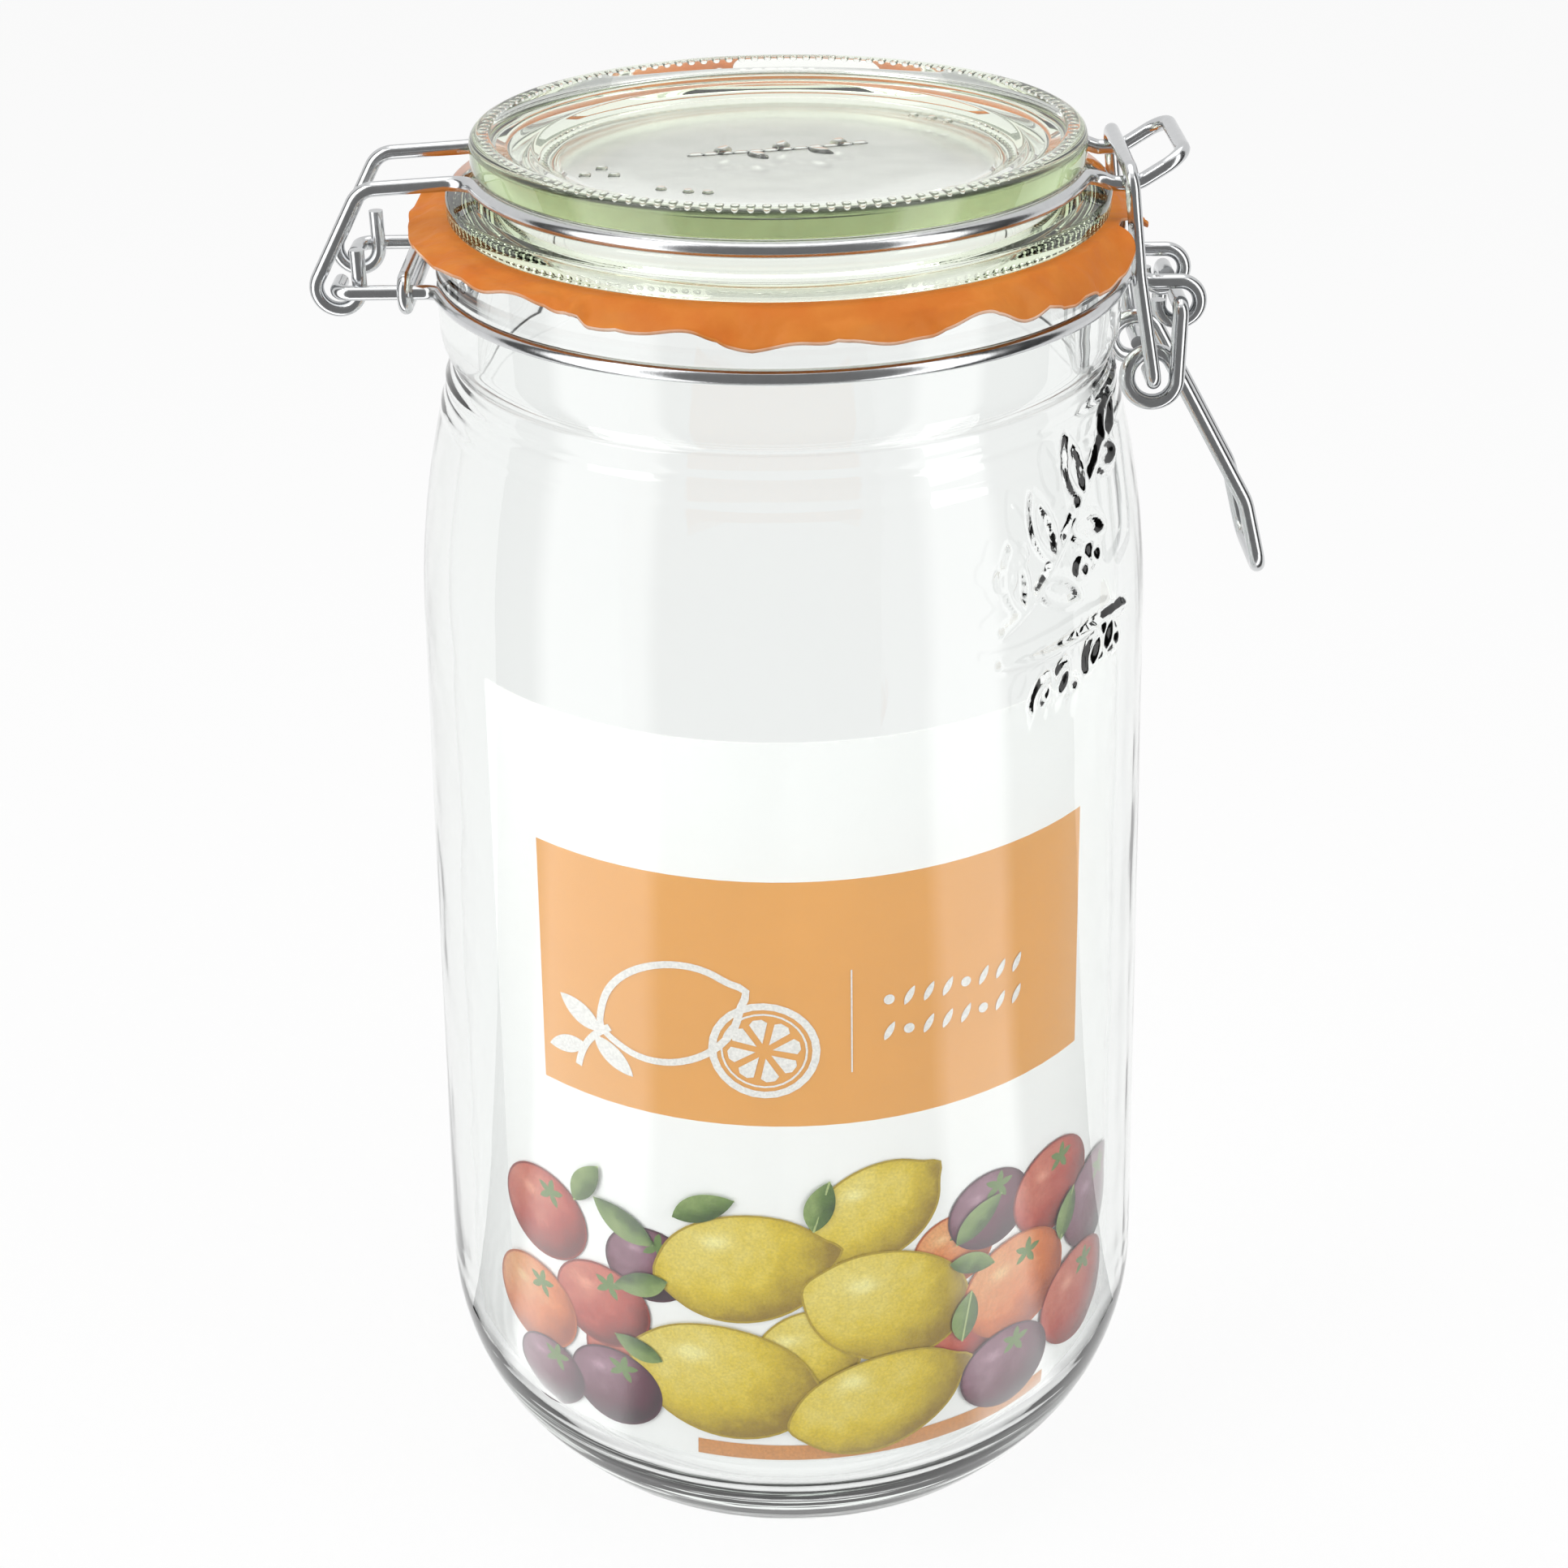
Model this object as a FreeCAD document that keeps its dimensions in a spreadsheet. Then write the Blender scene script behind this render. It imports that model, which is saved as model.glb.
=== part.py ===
"""A clip-top preserving jar: glass body and lid, bent wire closure, sealing ring and paper insert.

The row's frame is in millimetres. The origin is the middle of the foot ring, on the jar's axis.
+Z is up, +X points at the clasp and -X at the hinge. The jar is drawn shut and latched.
"""
import FreeCAD, Part
import math
import os
import Sketcher
from FreeCAD import Rotation, Vector

doc = FreeCAD.newDocument("ClipTopJar")
sheet = doc.addObject("Spreadsheet::Sheet", "Dim")

# Every size that can be set by itself, in millimetres or degrees.
SIZES = {
    # jar glass
    "rim_height": 204.6,  # foot to the top of the mouth
    "belly_radius": 56.2,  # widest, just above the rounded heel
    "belly_height": 34.6,
    "taper": 4.0,  # the wall draws in by this much from belly to shoulder
    "shoulder_drop": 56.6,  # from the rim down to where the shoulder starts
    "waist_drop": 18.4,  # from the rim down to the narrow line under the neck bead
    "waist_depth": 1.5,
    "bead_drop": 13.6,
    "collar_radius": 46.8,
    "rim_wall": 5.3,  # between the collar and the mouth
    "rim_round": 1.4,
    "mouth_round": 0.9,
    "wall": 3.6,
    "floor_thickness": 7.0,
    "foot_inset": 27.7,  # from the belly in to the foot
    "foot_width": 5.5,
    "punt_depth": 3.0,
    # glass lid, with heights above the underside of its flange
    "flange_inset": 2.0,  # from the collar in to the edge of the lid
    "flange_thickness": 3.2,
    "flange_slope": 1.2,
    "flange_round": 0.8,
    "plug_play": 1.4,  # between the plug and the mouth
    "plug_depth": 2.6,
    "plug_width": 4.0,
    "plug_chamfer": 0.5,
    "neck_inset": 4.5,  # from the edge of the lid in to its neck
    "lid_lip": 0.9,  # how far the rim stands out past the neck
    "lid_rim_width": 2.6,
    "lid_rim_round": 1.2,
    "lid_height": 10.6,
    "step_run": 2.6,  # from the crest in to the step
    "step_height": 8.85,
    "dish_run": 6.5,  # from the step in to the flat middle
    "dish_height": 6.9,
    "dish_thickness": 4.0,
    # sealing ring
    "seal_thickness": 0.8,
    "seal_gap": 0.05,  # between the ring and the rim that it is pressed on
    "seal_flare": 2.6,  # how far the skirt stands out past the collar
    "seal_fall": 2.5,  # how far its edge hangs below the rim, on average
    "seal_edge": 0.5,  # thickness at the loose edge
    "seal_leg_gap": 0.84,  # between the clasp's legs and where the skirt starts to stand out
    # bent wire
    "wire_radius": 1.0,
    "lever_wire_radius": 1.1,
    "tie_wire_radius": 0.9,
    "wire_play": 0.05,  # between a wire and the groove that it lies in
    "side_gap": 0.3,  # between wires that turn side by side
    "ring_drop": 7.6,  # from the rim down to the neck wire
    "bail_half_width": 9.3,  # half the distance between the lid wire's two strands
    "hinge_reach": 12.3,  # from the collar back to the hinge pins
    "hook_radius": 2.9,
    "stub_length": 5.2,
    "pin_overrun": 2.1,
    "ring_lift": 0.2,  # between the lid wire and the slope of the lid under it
    "bail_rear_drop": 0.85,
    "bail_rear_run": 3.9,  # from the hinge pins forward to the top of the legs
    "bail_front_drop": 1.25,
    "strand_start": 2.8,  # from the rim of the lid to where its front strands run level
    "nose_start": 6.0,  # from the rim of the lid to where the nose starts to rise
    "nose_reach": 12.0,
    "nose_rise": 3.8,
    "eye_inset": 1.9,  # from the lid wire's strands in to the eyelets
    "eye_drop": 3.9,
    "eye_radius": 2.8,
    "coil_radius": 3.3,
    "coil_drop": 10.2,
    "coil_gap": 0.1,
    "coil_clearance": 0.21,  # between the coils and the jar's shoulder
    "lever_arm_angle": 60.6,
    "lever_arm_length": 23.7,
    "handle_angle": 75.2,
    "handle_length": 11.0,
    "hook_gap": 0.15,  # between the clasp and the strands under it
    "leg_gap": 0.44,  # between the clasp's legs and the neck wire
    "clasp_lean": 1.8,  # from the clasp's knees in to its bar
    "clasp_knee_height": 1.0,
    "tie_reach": 3.0,
    # paper insert
    "paper_thickness": 0.25,
    "paper_gap": 0.15,
    "paper_bottom": 28.5,
    "paper_rise": 0.5,  # from the start of the shoulder up to its top edge
    "paper_start": -54.0,  # azimuth of its left edge, counted from the front
    "paper_sweep": 146.0,
}
# Sizes that follow from those above.
DERIVED = {
    "foot_radius": "=belly_radius - foot_inset",
    "mouth_radius": "=collar_radius - rim_wall",
    "flange_radius": "=collar_radius - flange_inset",
    "lid_neck_radius": "=flange_radius - neck_inset",
    "lid_rim_radius": "=lid_neck_radius + lid_lip",
    "step_radius": "=lid_rim_radius - lid_rim_width - step_run",
    "dish_radius": "=step_radius - dish_run",
    "lid_ring_height": "=flange_thickness + flange_slope + ring_lift + wire_radius",
    "eye_half_spacing": "=bail_half_width - eye_inset",
    "lever_half_width": "=eye_half_spacing + wire_radius + lever_wire_radius + side_gap",
    "clasp_half_width": "=lever_half_width + lever_wire_radius + wire_radius + side_gap",
    "arm_half_width": "=bail_half_width + 2 * wire_radius + side_gap",
    "paper_top": "=rim_height - shoulder_drop + paper_rise",
}
for row, (alias, amount) in enumerate([*SIZES.items(), *DERIVED.items()], start=1):
    sheet.set(f"A{row}", alias)
    sheet.set(f"B{row}", str(amount))
    sheet.setAlias(f"B{row}", alias)
doc.recompute()

# Places that several pieces share, as expressions of the sheet's cells.
FLANGE = "Dim.rim_height + Dim.seal_gap + Dim.seal_thickness"
RING = "Dim.rim_height - Dim.ring_drop"
SHOULDER = "Dim.rim_height - Dim.shoulder_drop"
WAIST = "Dim.rim_height - Dim.waist_drop"
PLUG = "Dim.mouth_radius - Dim.plug_play"


def number(expression):
    """What an expression of the sheet's cells comes to."""
    return float(sheet.evalExpression(str(expression)))


def size(alias):
    """One cell of the sheet."""
    return number("Dim." + alias)


# ---------------------------------------------------------------- turned pieces


def origin_plane(body, role):
    """One of a body's own three origin planes."""
    return next(item for item in body.Origin.OriginFeatures if item.Role == role)


def half_section(body, name):
    """An empty sketch in the body's XZ plane: its x is the radius and its y the height."""
    sketch = body.newObject("Sketcher::SketchObject", name)
    sketch.AttachmentSupport = [(origin_plane(body, "XZ_Plane"), "")]
    sketch.MapMode = "FlatFace"
    return sketch


def bind(sketch, constraint, label, expression):
    """Add a dimension to a sketch and tie it to the sheet."""
    index = sketch.addConstraint(constraint)
    sketch.renameConstraint(index, label)
    sketch.setExpression("Constraints." + label, expression)


def place_point(sketch, curve, end, label, radius, height):
    """Hold one end of a curve at a radius and a height; a radius of None is on the axis."""
    if radius is None:
        sketch.addConstraint(Sketcher.Constraint("PointOnObject", curve, end, -2))
    else:
        across = Sketcher.Constraint("DistanceX", -1, 1, curve, end, number(radius))
        bind(sketch, across, label + "_radius", radius)
    along = Sketcher.Constraint("DistanceY", -1, 1, curve, end, number(height))
    bind(sketch, along, label + "_height", height)


def tangent_arc(start, heading, finish):
    """The arc that leaves start along heading and ends at finish, and whether it turns left."""
    normal = Vector(-heading.y, heading.x, 0)
    span = finish - start
    reach = span.Length**2 / (2 * span.dot(normal))
    centre = start + normal * reach
    first = math.atan2(start.y - centre.y, start.x - centre.x)
    last = math.atan2(finish.y - centre.y, finish.x - centre.x)
    left = reach > 0
    circle = Part.Circle(centre, Vector(0, 0, 1), abs(reach))
    arc = Part.ArcOfCircle(circle, first, last) if left else Part.ArcOfCircle(circle, last, first)
    return arc, left


def draw_outline(sketch, corners):
    """A closed outline through named corners, each (name, radius, height, kind).

    kind is how the outline comes to that corner from the one before: "line", "from" for an
    arc that leaves the stretch before it smoothly, or "into" for one that runs smoothly into
    the next stretch.
    """
    points = [Vector(0 if r is None else number(r), number(h), 0) for _, r, h, _ in corners]
    count = len(corners)
    ends = []
    for i in range(count):
        start, finish = points[i - 1], points[i]
        kind = corners[i][3]
        if kind == "line":
            sketch.addGeometry(Part.LineSegment(start, finish))
            ends.append((1, 2))
            continue
        if kind == "from":
            heading = (start - points[i - 2]).normalize()
            arc, left = tangent_arc(start, heading, finish)
        else:
            heading = (finish - points[(i + 1) % count]).normalize()
            arc, left = tangent_arc(finish, heading, start)
            left = not left
        sketch.addGeometry(arc)
        ends.append((1, 2) if left else (2, 1))
    for i in range(count):
        after = (i + 1) % count
        smooth = corners[i][3] == "into" or corners[after][3] == "from"
        rule = "Tangent" if smooth else "Coincident"
        sketch.addConstraint(Sketcher.Constraint(rule, i, ends[i][1], after, ends[after][0]))
    for i, (name, radius, height, _) in enumerate(corners):
        place_point(sketch, i, ends[i][1], name, radius, height)


def turn(body, sketch, name, angle=None):
    """Turn a half section about the body's axis, all the way round or by an angle."""
    revolution = body.newObject("PartDesign::Revolution", name)
    revolution.Profile = sketch
    revolution.ReferenceAxis = (sketch, ["V_Axis"])
    revolution.Angle = 360
    if angle:
        revolution.setExpression("Angle", angle)
    doc.recompute()
    return revolution


def wire_groove(body, name, radius, height):
    """A round groove for a wire, cut round the body with its centre at a radius and a height."""
    sketch = half_section(body, name + "_section")
    bore = number("Dim.wire_radius + Dim.wire_play")
    centre = Vector(number(radius), number(height), 0)
    sketch.addGeometry(Part.Circle(centre, Vector(0, 0, 1), bore))
    place_point(sketch, 0, 3, "centre", radius, height)
    round_size = Sketcher.Constraint("Radius", 0, bore)
    bind(sketch, round_size, "bore", "Dim.wire_radius + Dim.wire_play")
    groove = body.newObject("PartDesign::Groove", name)
    groove.Profile = sketch
    groove.ReferenceAxis = (sketch, ["V_Axis"])
    groove.Angle = 360
    doc.recompute()
    return groove


def edges_at(shape, radius, height):
    """The names of the circular edges at a radius and a height."""
    names = []
    for index, edge in enumerate(shape.Edges, start=1):
        if not isinstance(edge.Curve, Part.Circle):
            continue
        centre = edge.Curve.Center
        if abs(edge.Curve.Radius - radius) < 1e-4 and abs(centre.z - height) < 1e-4:
            names.append(f"Edge{index}")
    return names


def round_edges(body, name, places, radius):
    """Round the circular edges at several places, each a radius and a height, by one radius."""
    base = body.Tip
    edges = []
    for across, height in places:
        edges += edges_at(base.Shape, number(across), number(height))
    fillet = body.newObject("PartDesign::Fillet", name)
    fillet.Base = (base, edges)
    fillet.setExpression("Radius", radius)
    doc.recompute()
    return fillet


def make_jar_glass():
    """The glass body: foot ring, rounded heel, tapered wall, shoulder, bead and collar."""
    body = doc.addObject("PartDesign::Body", "JarGlass")
    body.Label = "jar_glass"
    sketch = half_section(body, "JarSection")
    waist = "Dim.collar_radius - Dim.waist_depth"
    shoulder = "Dim.belly_radius - Dim.taper"
    corners = [
        ("punt", None, "Dim.punt_depth", "line"),
        ("foot_in", "Dim.foot_radius - Dim.foot_width", "0", "line"),
        ("foot_out", "Dim.foot_radius", "0", "line"),
        ("belly", "Dim.belly_radius", "Dim.belly_height", "into"),
        ("shoulder", shoulder, SHOULDER, "line"),
        ("waist", waist, WAIST, "from"),
        ("bead", "Dim.collar_radius", "Dim.rim_height - Dim.bead_drop", "into"),
        ("rim_out", "Dim.collar_radius", "Dim.rim_height", "line"),
        ("rim_in", "Dim.mouth_radius", "Dim.rim_height", "line"),
        ("neck_in", "Dim.mouth_radius", WAIST, "line"),
        ("shoulder_in", shoulder + " - Dim.wall", SHOULDER, "into"),
        ("belly_in", "Dim.belly_radius - Dim.wall", "Dim.belly_height", "line"),
        ("floor_edge", "Dim.foot_radius - Dim.foot_width", "Dim.floor_thickness", "from"),
        ("floor", None, "Dim.floor_thickness", "line"),
    ]
    draw_outline(sketch, corners)
    turn(body, sketch, "JarTurned")
    wire_groove(body, "NeckGroove", "Dim.collar_radius", RING)
    round_edges(body, "RimRound", [("Dim.collar_radius", "Dim.rim_height")], "Dim.rim_round")
    round_edges(body, "MouthRound", [("Dim.mouth_radius", "Dim.rim_height")], "Dim.mouth_round")
    return body


def make_lid_glass():
    """The dished glass lid: plug, flange, the neck that the lid wire lies round, and rim."""
    body = doc.addObject("PartDesign::Body", "LidGlass")
    body.Label = "lid_glass"
    sketch = half_section(body, "LidSection")

    def above(rise):
        return FLANGE + " + " + rise

    rim_foot = "Dim.lid_ring_height + Dim.wire_radius + Dim.wire_play"
    crest = "Dim.lid_rim_radius - Dim.lid_rim_width"
    under = "Dim.dish_height - Dim.dish_thickness"
    corners = [
        ("under", None, above(under), "line"),
        ("plug_root", PLUG + " - 1.5 * Dim.plug_width", above(under), "line"),
        ("plug_in", PLUG + " - Dim.plug_width", FLANGE + " - Dim.plug_depth", "line"),
        ("plug_out", PLUG + " - Dim.plug_chamfer", FLANGE + " - Dim.plug_depth", "line"),
        ("plug_top", PLUG, FLANGE, "line"),
        ("flange_low", "Dim.flange_radius", FLANGE, "line"),
        ("flange_high", "Dim.flange_radius", above("Dim.flange_thickness"), "line"),
        ("slope", "Dim.lid_neck_radius", above("Dim.flange_thickness + Dim.flange_slope"), "line"),
        ("neck", "Dim.lid_neck_radius", above(rim_foot), "line"),
        ("rim_low", "Dim.lid_rim_radius", above(rim_foot), "line"),
        ("rim_high", "Dim.lid_rim_radius", above("Dim.lid_height"), "line"),
        ("crest", crest, above("Dim.lid_height"), "line"),
        ("step", "Dim.step_radius", above("Dim.step_height"), "line"),
        ("dish", "Dim.dish_radius", above("Dim.dish_height"), "line"),
        ("middle", None, above("Dim.dish_height"), "line"),
    ]
    draw_outline(sketch, corners)
    turn(body, sketch, "LidTurned")
    rim_top = [("Dim.lid_rim_radius", above("Dim.lid_height"))]
    round_edges(body, "LidRimRound", rim_top, "Dim.lid_rim_round")
    flange_edges = [
        ("Dim.flange_radius", FLANGE),
        ("Dim.flange_radius", above("Dim.flange_thickness")),
    ]
    round_edges(body, "FlangeRound", flange_edges, "Dim.flange_round")
    return body


def make_paper_insert():
    """A sheet of paper curved round the inside of the wall, over part of its girth."""
    body = doc.addObject("PartDesign::Body", "PaperInsert")
    body.Label = "paper_insert"
    sketch = half_section(body, "PaperSection")
    lean = f"Dim.taper / ({SHOULDER} - Dim.belly_height)"
    wall_at_top = f"Dim.belly_radius - {lean} * (Dim.paper_top - Dim.belly_height) - Dim.wall"
    foot = "Dim.belly_radius - Dim.wall - 5 * Dim.paper_gap"
    top = wall_at_top + " - Dim.paper_gap"
    corners = [
        ("low_in", foot + " - Dim.paper_thickness", "Dim.paper_bottom", "line"),
        ("low_out", foot, "Dim.paper_bottom", "line"),
        ("top_out", top, "Dim.paper_top", "line"),
        ("top_in", top + " - Dim.paper_thickness", "Dim.paper_top", "line"),
    ]
    draw_outline(sketch, corners)
    turn(body, sketch, "PaperTurned", "Dim.paper_sweep")
    body.Placement = FreeCAD.Placement(Vector(), Rotation(Vector(0, 0, 1), 0))
    body.setExpression("Placement.Rotation.Angle", "Dim.paper_start - 90")
    return body


# ------------------------------------------------------------------- bent wires


def route(corners, closed=False):
    """A path of straight runs and tangent arcs; each corner is (point, bend radius)."""
    count = len(corners)
    points = [Vector(*point) for point, _ in corners]
    edges, loose, first = [], points[0], None
    inner = range(count) if closed else range(1, count - 1)
    for i in inner:
        here = points[i]
        back = (points[i - 1] - here).normalize()
        ahead = (points[(i + 1) % count] - here).normalize()
        half = back.getAngle(ahead) / 2
        bend = corners[i][1]
        enter = here + back * (bend / math.tan(half))
        leave = here + ahead * (bend / math.tan(half))
        middle = (back + ahead).normalize()
        crown = here + middle * (bend / math.sin(half) - bend)
        if first is None and closed:
            first = enter
        elif (enter - loose).dot(back) > 1e-3:
            raise ValueError(f"the bends run into each other before corner {i} at {here}")
        elif (enter - loose).Length > 1e-4:
            edges.append(Part.makeLine(loose, enter))
        else:
            enter = loose
        edges.append(Part.Arc(enter, crown, leave).toShape())
        loose = leave
    last = first if closed else points[-1]
    if (last - loose).Length > 1e-4:
        edges.append(Part.makeLine(loose, last))
    return Part.Wire(edges)


def bent_wire(label, corners, radius, closed=False):
    """A round wire bent to a route, as one solid."""
    path = route(corners, closed)
    start = path.OrderedEdges[0]
    along = start.tangentAt(start.FirstParameter)
    section = Part.Wire(Part.makeCircle(radius, start.valueAt(start.FirstParameter), along))
    solid = path.makePipeShell([section], True, False)
    expected = math.pi * radius**2 * path.Length
    if abs(solid.Volume / expected - 1) > 0.01:
        raise ValueError(f"{label}: the sweep's volume is {solid.Volume:.1f}, not {expected:.1f}")
    feature = doc.addObject("Part::Feature", label)
    feature.Label = label
    feature.Shape = solid
    feature.Placement = FreeCAD.Placement()
    return feature


def tangent_corners(centre, radius, first, last, pieces, place):
    """The corners that a bend of this radius turns into a true arc from first to last.

    Angles are in degrees, and place turns the two coordinates in the arc's plane, and the
    share of the arc that is done, into a point.
    """
    half = math.radians(last - first) / pieces / 2
    reach = radius / math.cos(half)
    corners = []
    for i in range(pieces):
        angle = math.radians(first) + half * (2 * i + 1)
        across = centre[0] + reach * math.cos(angle)
        up = centre[1] + reach * math.sin(angle)
        corners.append((place(across, up, (i + 0.5) / pieces), radius))
    return corners


def level_ring(radius, height, first, last, pieces):
    """The corners of a level arc about the jar's axis."""
    return tangent_corners((0, 0), radius, first, last, pieces, lambda x, y, _: (x, y, height))


def on_tangent(radius, angle, side):
    """Where the tangent at this angle of a circle about the axis crosses the line y = side."""
    turned = math.radians(angle)
    return (radius - side * math.sin(turned)) / math.cos(turned)


# how far past the two arms, in degrees, the neck wire and lid wire have settled on their circles
SETTLE = 7.0


def make_neck_wire(label, side):
    """One half of the neck wire, on the side of this sign of Y.

    Its rear arm ends in a hinge pin turned inward, and its front arm in an eyelet.
    """
    bend = 2.2 * size("wire_radius")
    radius = size("collar_radius")
    height = number(RING)
    arm_y = side * size("arm_half_width")
    eye_y = side * size("eye_half_spacing")
    hinge = -radius - size("hinge_reach")
    pin_end = side * (size("bail_half_width") - size("wire_radius") - size("pin_overrun"))
    rear = side * (180 - math.degrees(math.asin(size("arm_half_width") / radius)) - SETTLE)
    front = side * (math.degrees(math.asin(size("eye_half_spacing") / radius)) + SETTLE)
    eye = (coil_centre()[0] + size("coil_radius"), height - size("eye_drop"))
    corners = [
        ((hinge, pin_end, height), 0),
        ((hinge, arm_y, height), 1.8 * size("wire_radius")),
        ((on_tangent(radius, rear, arm_y), arm_y, height), bend),
    ]
    corners += level_ring(radius, height, rear, front, 3)
    corners.append(((on_tangent(radius, front, eye_y), eye_y, height), bend))
    stoop = radius + 0.45 * (eye[0] - radius)
    corners.append(((stoop, eye_y, eye[1] + size("eye_radius")), 3 * size("wire_radius")))
    corners += tangent_corners(
        eye, size("eye_radius"), 90, -180, 4, lambda x, z, _: (x, eye_y, z)
    )
    corners.append(((eye[0] - size("eye_radius"), eye_y, eye[1] + 0.3), 0))
    return bent_wire(label, corners, size("wire_radius"))


def make_tie_ring():
    """A closed loop round both rear arms, which holds the two halves of the neck wire together."""
    reach = number("Dim.wire_radius + Dim.tie_wire_radius + Dim.coil_gap")
    place = -number("Dim.collar_radius + Dim.tie_reach")
    height = number(RING)
    wide = size("arm_half_width") + reach
    corners = []
    for across, up in ((1, 1), (-1, 1), (-1, -1), (1, -1)):
        corners.append(((place, across * wide, height + up * reach), reach * 0.999))
    return bent_wire("tie_ring", corners, size("tie_wire_radius"), closed=True)


def make_lid_wire():
    """The bail: hooks round the hinge pins, a ring round the lid's neck and a raised nose."""
    wire = size("wire_radius")
    ring = number("Dim.lid_neck_radius + Dim.wire_radius + Dim.wire_play")
    high = number(FLANGE + " + Dim.lid_ring_height")
    wide = size("bail_half_width")
    hinge = (-number("Dim.collar_radius + Dim.hinge_reach"), number(RING))
    hook = size("hook_radius")
    knee = (hinge[0] + size("bail_rear_run"), high - size("bail_rear_drop"))
    span = math.hypot(knee[0] - hinge[0], knee[1] - hinge[1])
    lean = math.atan2(knee[1] - hinge[1], knee[0] - hinge[0]) - math.asin(hook / span)
    low = hinge[1] - hook
    toe = hinge[0] - hook * (1 + math.cos(lean)) / math.sin(lean)
    rear = 180 - math.degrees(math.asin(wide / ring)) - SETTLE
    front = math.degrees(math.asin(wide / ring)) + SETTLE
    level = high - size("bail_front_drop")
    rim = size("lid_rim_radius")
    tip = (rim + size("nose_reach"), level + size("nose_rise"))

    def half(side):
        y = side * wide
        corners = [
            ((hinge[0] + hook, y, hinge[1] + size("stub_length")), 0),
            ((hinge[0] + hook, y, low), hook),
            ((toe, y, low), hook),
            ((knee[0], y, knee[1]), 3.5 * wire),
            ((on_tangent(ring, side * rear, y), y, high), 4.5 * wire),
        ]
        corners += level_ring(ring, high, side * rear, side * front, 3)
        corners += [
            ((on_tangent(ring, side * front, y), y, high), 3 * wire),
            ((rim + size("strand_start"), y, level), 3 * wire),
            ((rim + size("nose_start"), y, level), 4 * wire),
            ((tip[0], y, tip[1]), 3 * wire),
        ]
        return corners

    corners = half(-1) + half(1)[::-1]
    return bent_wire("lid_wire", corners, wire)


def coil_centre():
    """Where the clasp's pins turn in the lever's coils, just clear of the jar's shoulder."""
    height = number(RING + " - Dim.eye_drop - Dim.coil_drop")
    belly = Vector(size("belly_radius"), size("belly_height"), 0)
    start = Vector(size("belly_radius") - size("taper"), number(SHOULDER), 0)
    waist = Vector(number("Dim.collar_radius - Dim.waist_depth"), number(WAIST), 0)
    arc, _ = tangent_arc(start, (start - belly).normalize(), waist)
    reach = arc.Radius + number("Dim.coil_radius + Dim.lever_wire_radius + Dim.coil_clearance")
    level = arc.Center.x + math.sqrt(reach**2 - (height - arc.Center.y) ** 2)
    beside = number("Dim.lever_half_width - 2 * Dim.lever_wire_radius")
    return math.sqrt(level**2 - beside**2), height


def lever_inner_half_width():
    """Each coil steps inward by one wire, so the long arms stand inside the strands."""
    return number("Dim.lever_half_width - 2 * Dim.lever_wire_radius - Dim.coil_gap")


def make_lever():
    """The lever: pins through the eyelets, a coil for each of the clasp's pins, and a handle."""
    wire = size("lever_wire_radius")
    coil = coil_centre()
    radius = size("coil_radius")
    eye = (coil[0] + radius, coil[1] + size("coil_drop"))
    outer, inner = size("lever_half_width"), lever_inner_half_width()
    pin_end = size("eye_half_spacing") - size("wire_radius") - size("pin_overrun")
    fall = math.radians(size("lever_arm_angle"))
    leave = size("lever_arm_angle") - 90
    start = (coil[0] + radius * math.sin(fall), coil[1] + radius * math.cos(fall))
    length = size("lever_arm_length")
    bend = (start[0] + length * math.cos(fall), start[1] - length * math.sin(fall))
    droop = math.radians(size("handle_angle"))
    reach = size("handle_length")
    tip = (bend[0] + reach * math.cos(droop), bend[1] - reach * math.sin(droop))

    def half(side):
        def place(x, z, done):
            step = min(max((done - 0.2) / 0.6, 0), 1)
            return (x, side * (outer + (inner - outer) * step), z)

        corners = [
            ((eye[0], side * pin_end, eye[1]), 0),
            ((eye[0], side * outer, eye[1]), 1.3 * wire),
        ]
        corners += [
            (point, 0.96 * bend_radius)
            for point, bend_radius in tangent_corners(coil, radius, 0, -360 - leave, 9, place)
        ]
        corners += [
            ((bend[0], side * inner, bend[1]), 8 * wire),
            ((tip[0], side * inner, tip[1]), 2.8 * wire),
        ]
        return corners

    return bent_wire("lever", half(-1) + half(1)[::-1], wire)


def make_clasp():
    """The clasp: pins in the lever's coils, two legs and a bar over the lid wire's nose."""
    wire = size("wire_radius")
    coil = coil_centre()
    wide = size("clasp_half_width")
    pin_end = lever_inner_half_width() - size("lever_wire_radius") - wire
    clear = number("Dim.collar_radius + 2 * Dim.wire_radius + Dim.leg_gap")
    strand = number(FLANGE + " + Dim.lid_ring_height - Dim.bail_front_drop")
    bar = strand + 2 * wire + size("hook_gap")
    knee = (math.sqrt(clear**2 - wide**2), number(RING) + size("clasp_knee_height"))
    top = (knee[0] - size("clasp_lean"), bar)

    def half(side):
        return [
            ((coil[0], side * pin_end, coil[1]), 0),
            ((coil[0], side * wide, coil[1]), 1.8 * wire),
            ((knee[0], side * wide, knee[1]), 30 * wire),
            ((top[0], side * wide, top[1]), 2.8 * wire),
        ]

    return bent_wire("clasp", half(-1) + half(1)[::-1], wire)


# ------------------------------------------------------------------ sealing ring


def edge_wave(angle):
    """How the ring's loose edge wanders, about -1 to 1, out of step so that it looks crumpled."""
    return (
        0.45 * math.sin(7 * angle + 0.6)
        + 0.35 * math.sin(12 * angle + 2.1)
        + 0.20 * math.sin(19 * angle + 4.0)
    )


def clear_of_clasp(angle, leg_angle, half_gap, fade):
    """1 away from the clasp's legs, 0 beside them, so that the skirt is pressed flat there."""
    away = abs(abs(math.degrees(math.remainder(angle, 2 * math.pi))) - leg_angle)
    return min(max((away - half_gap) / fade, 0), 1)


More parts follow.
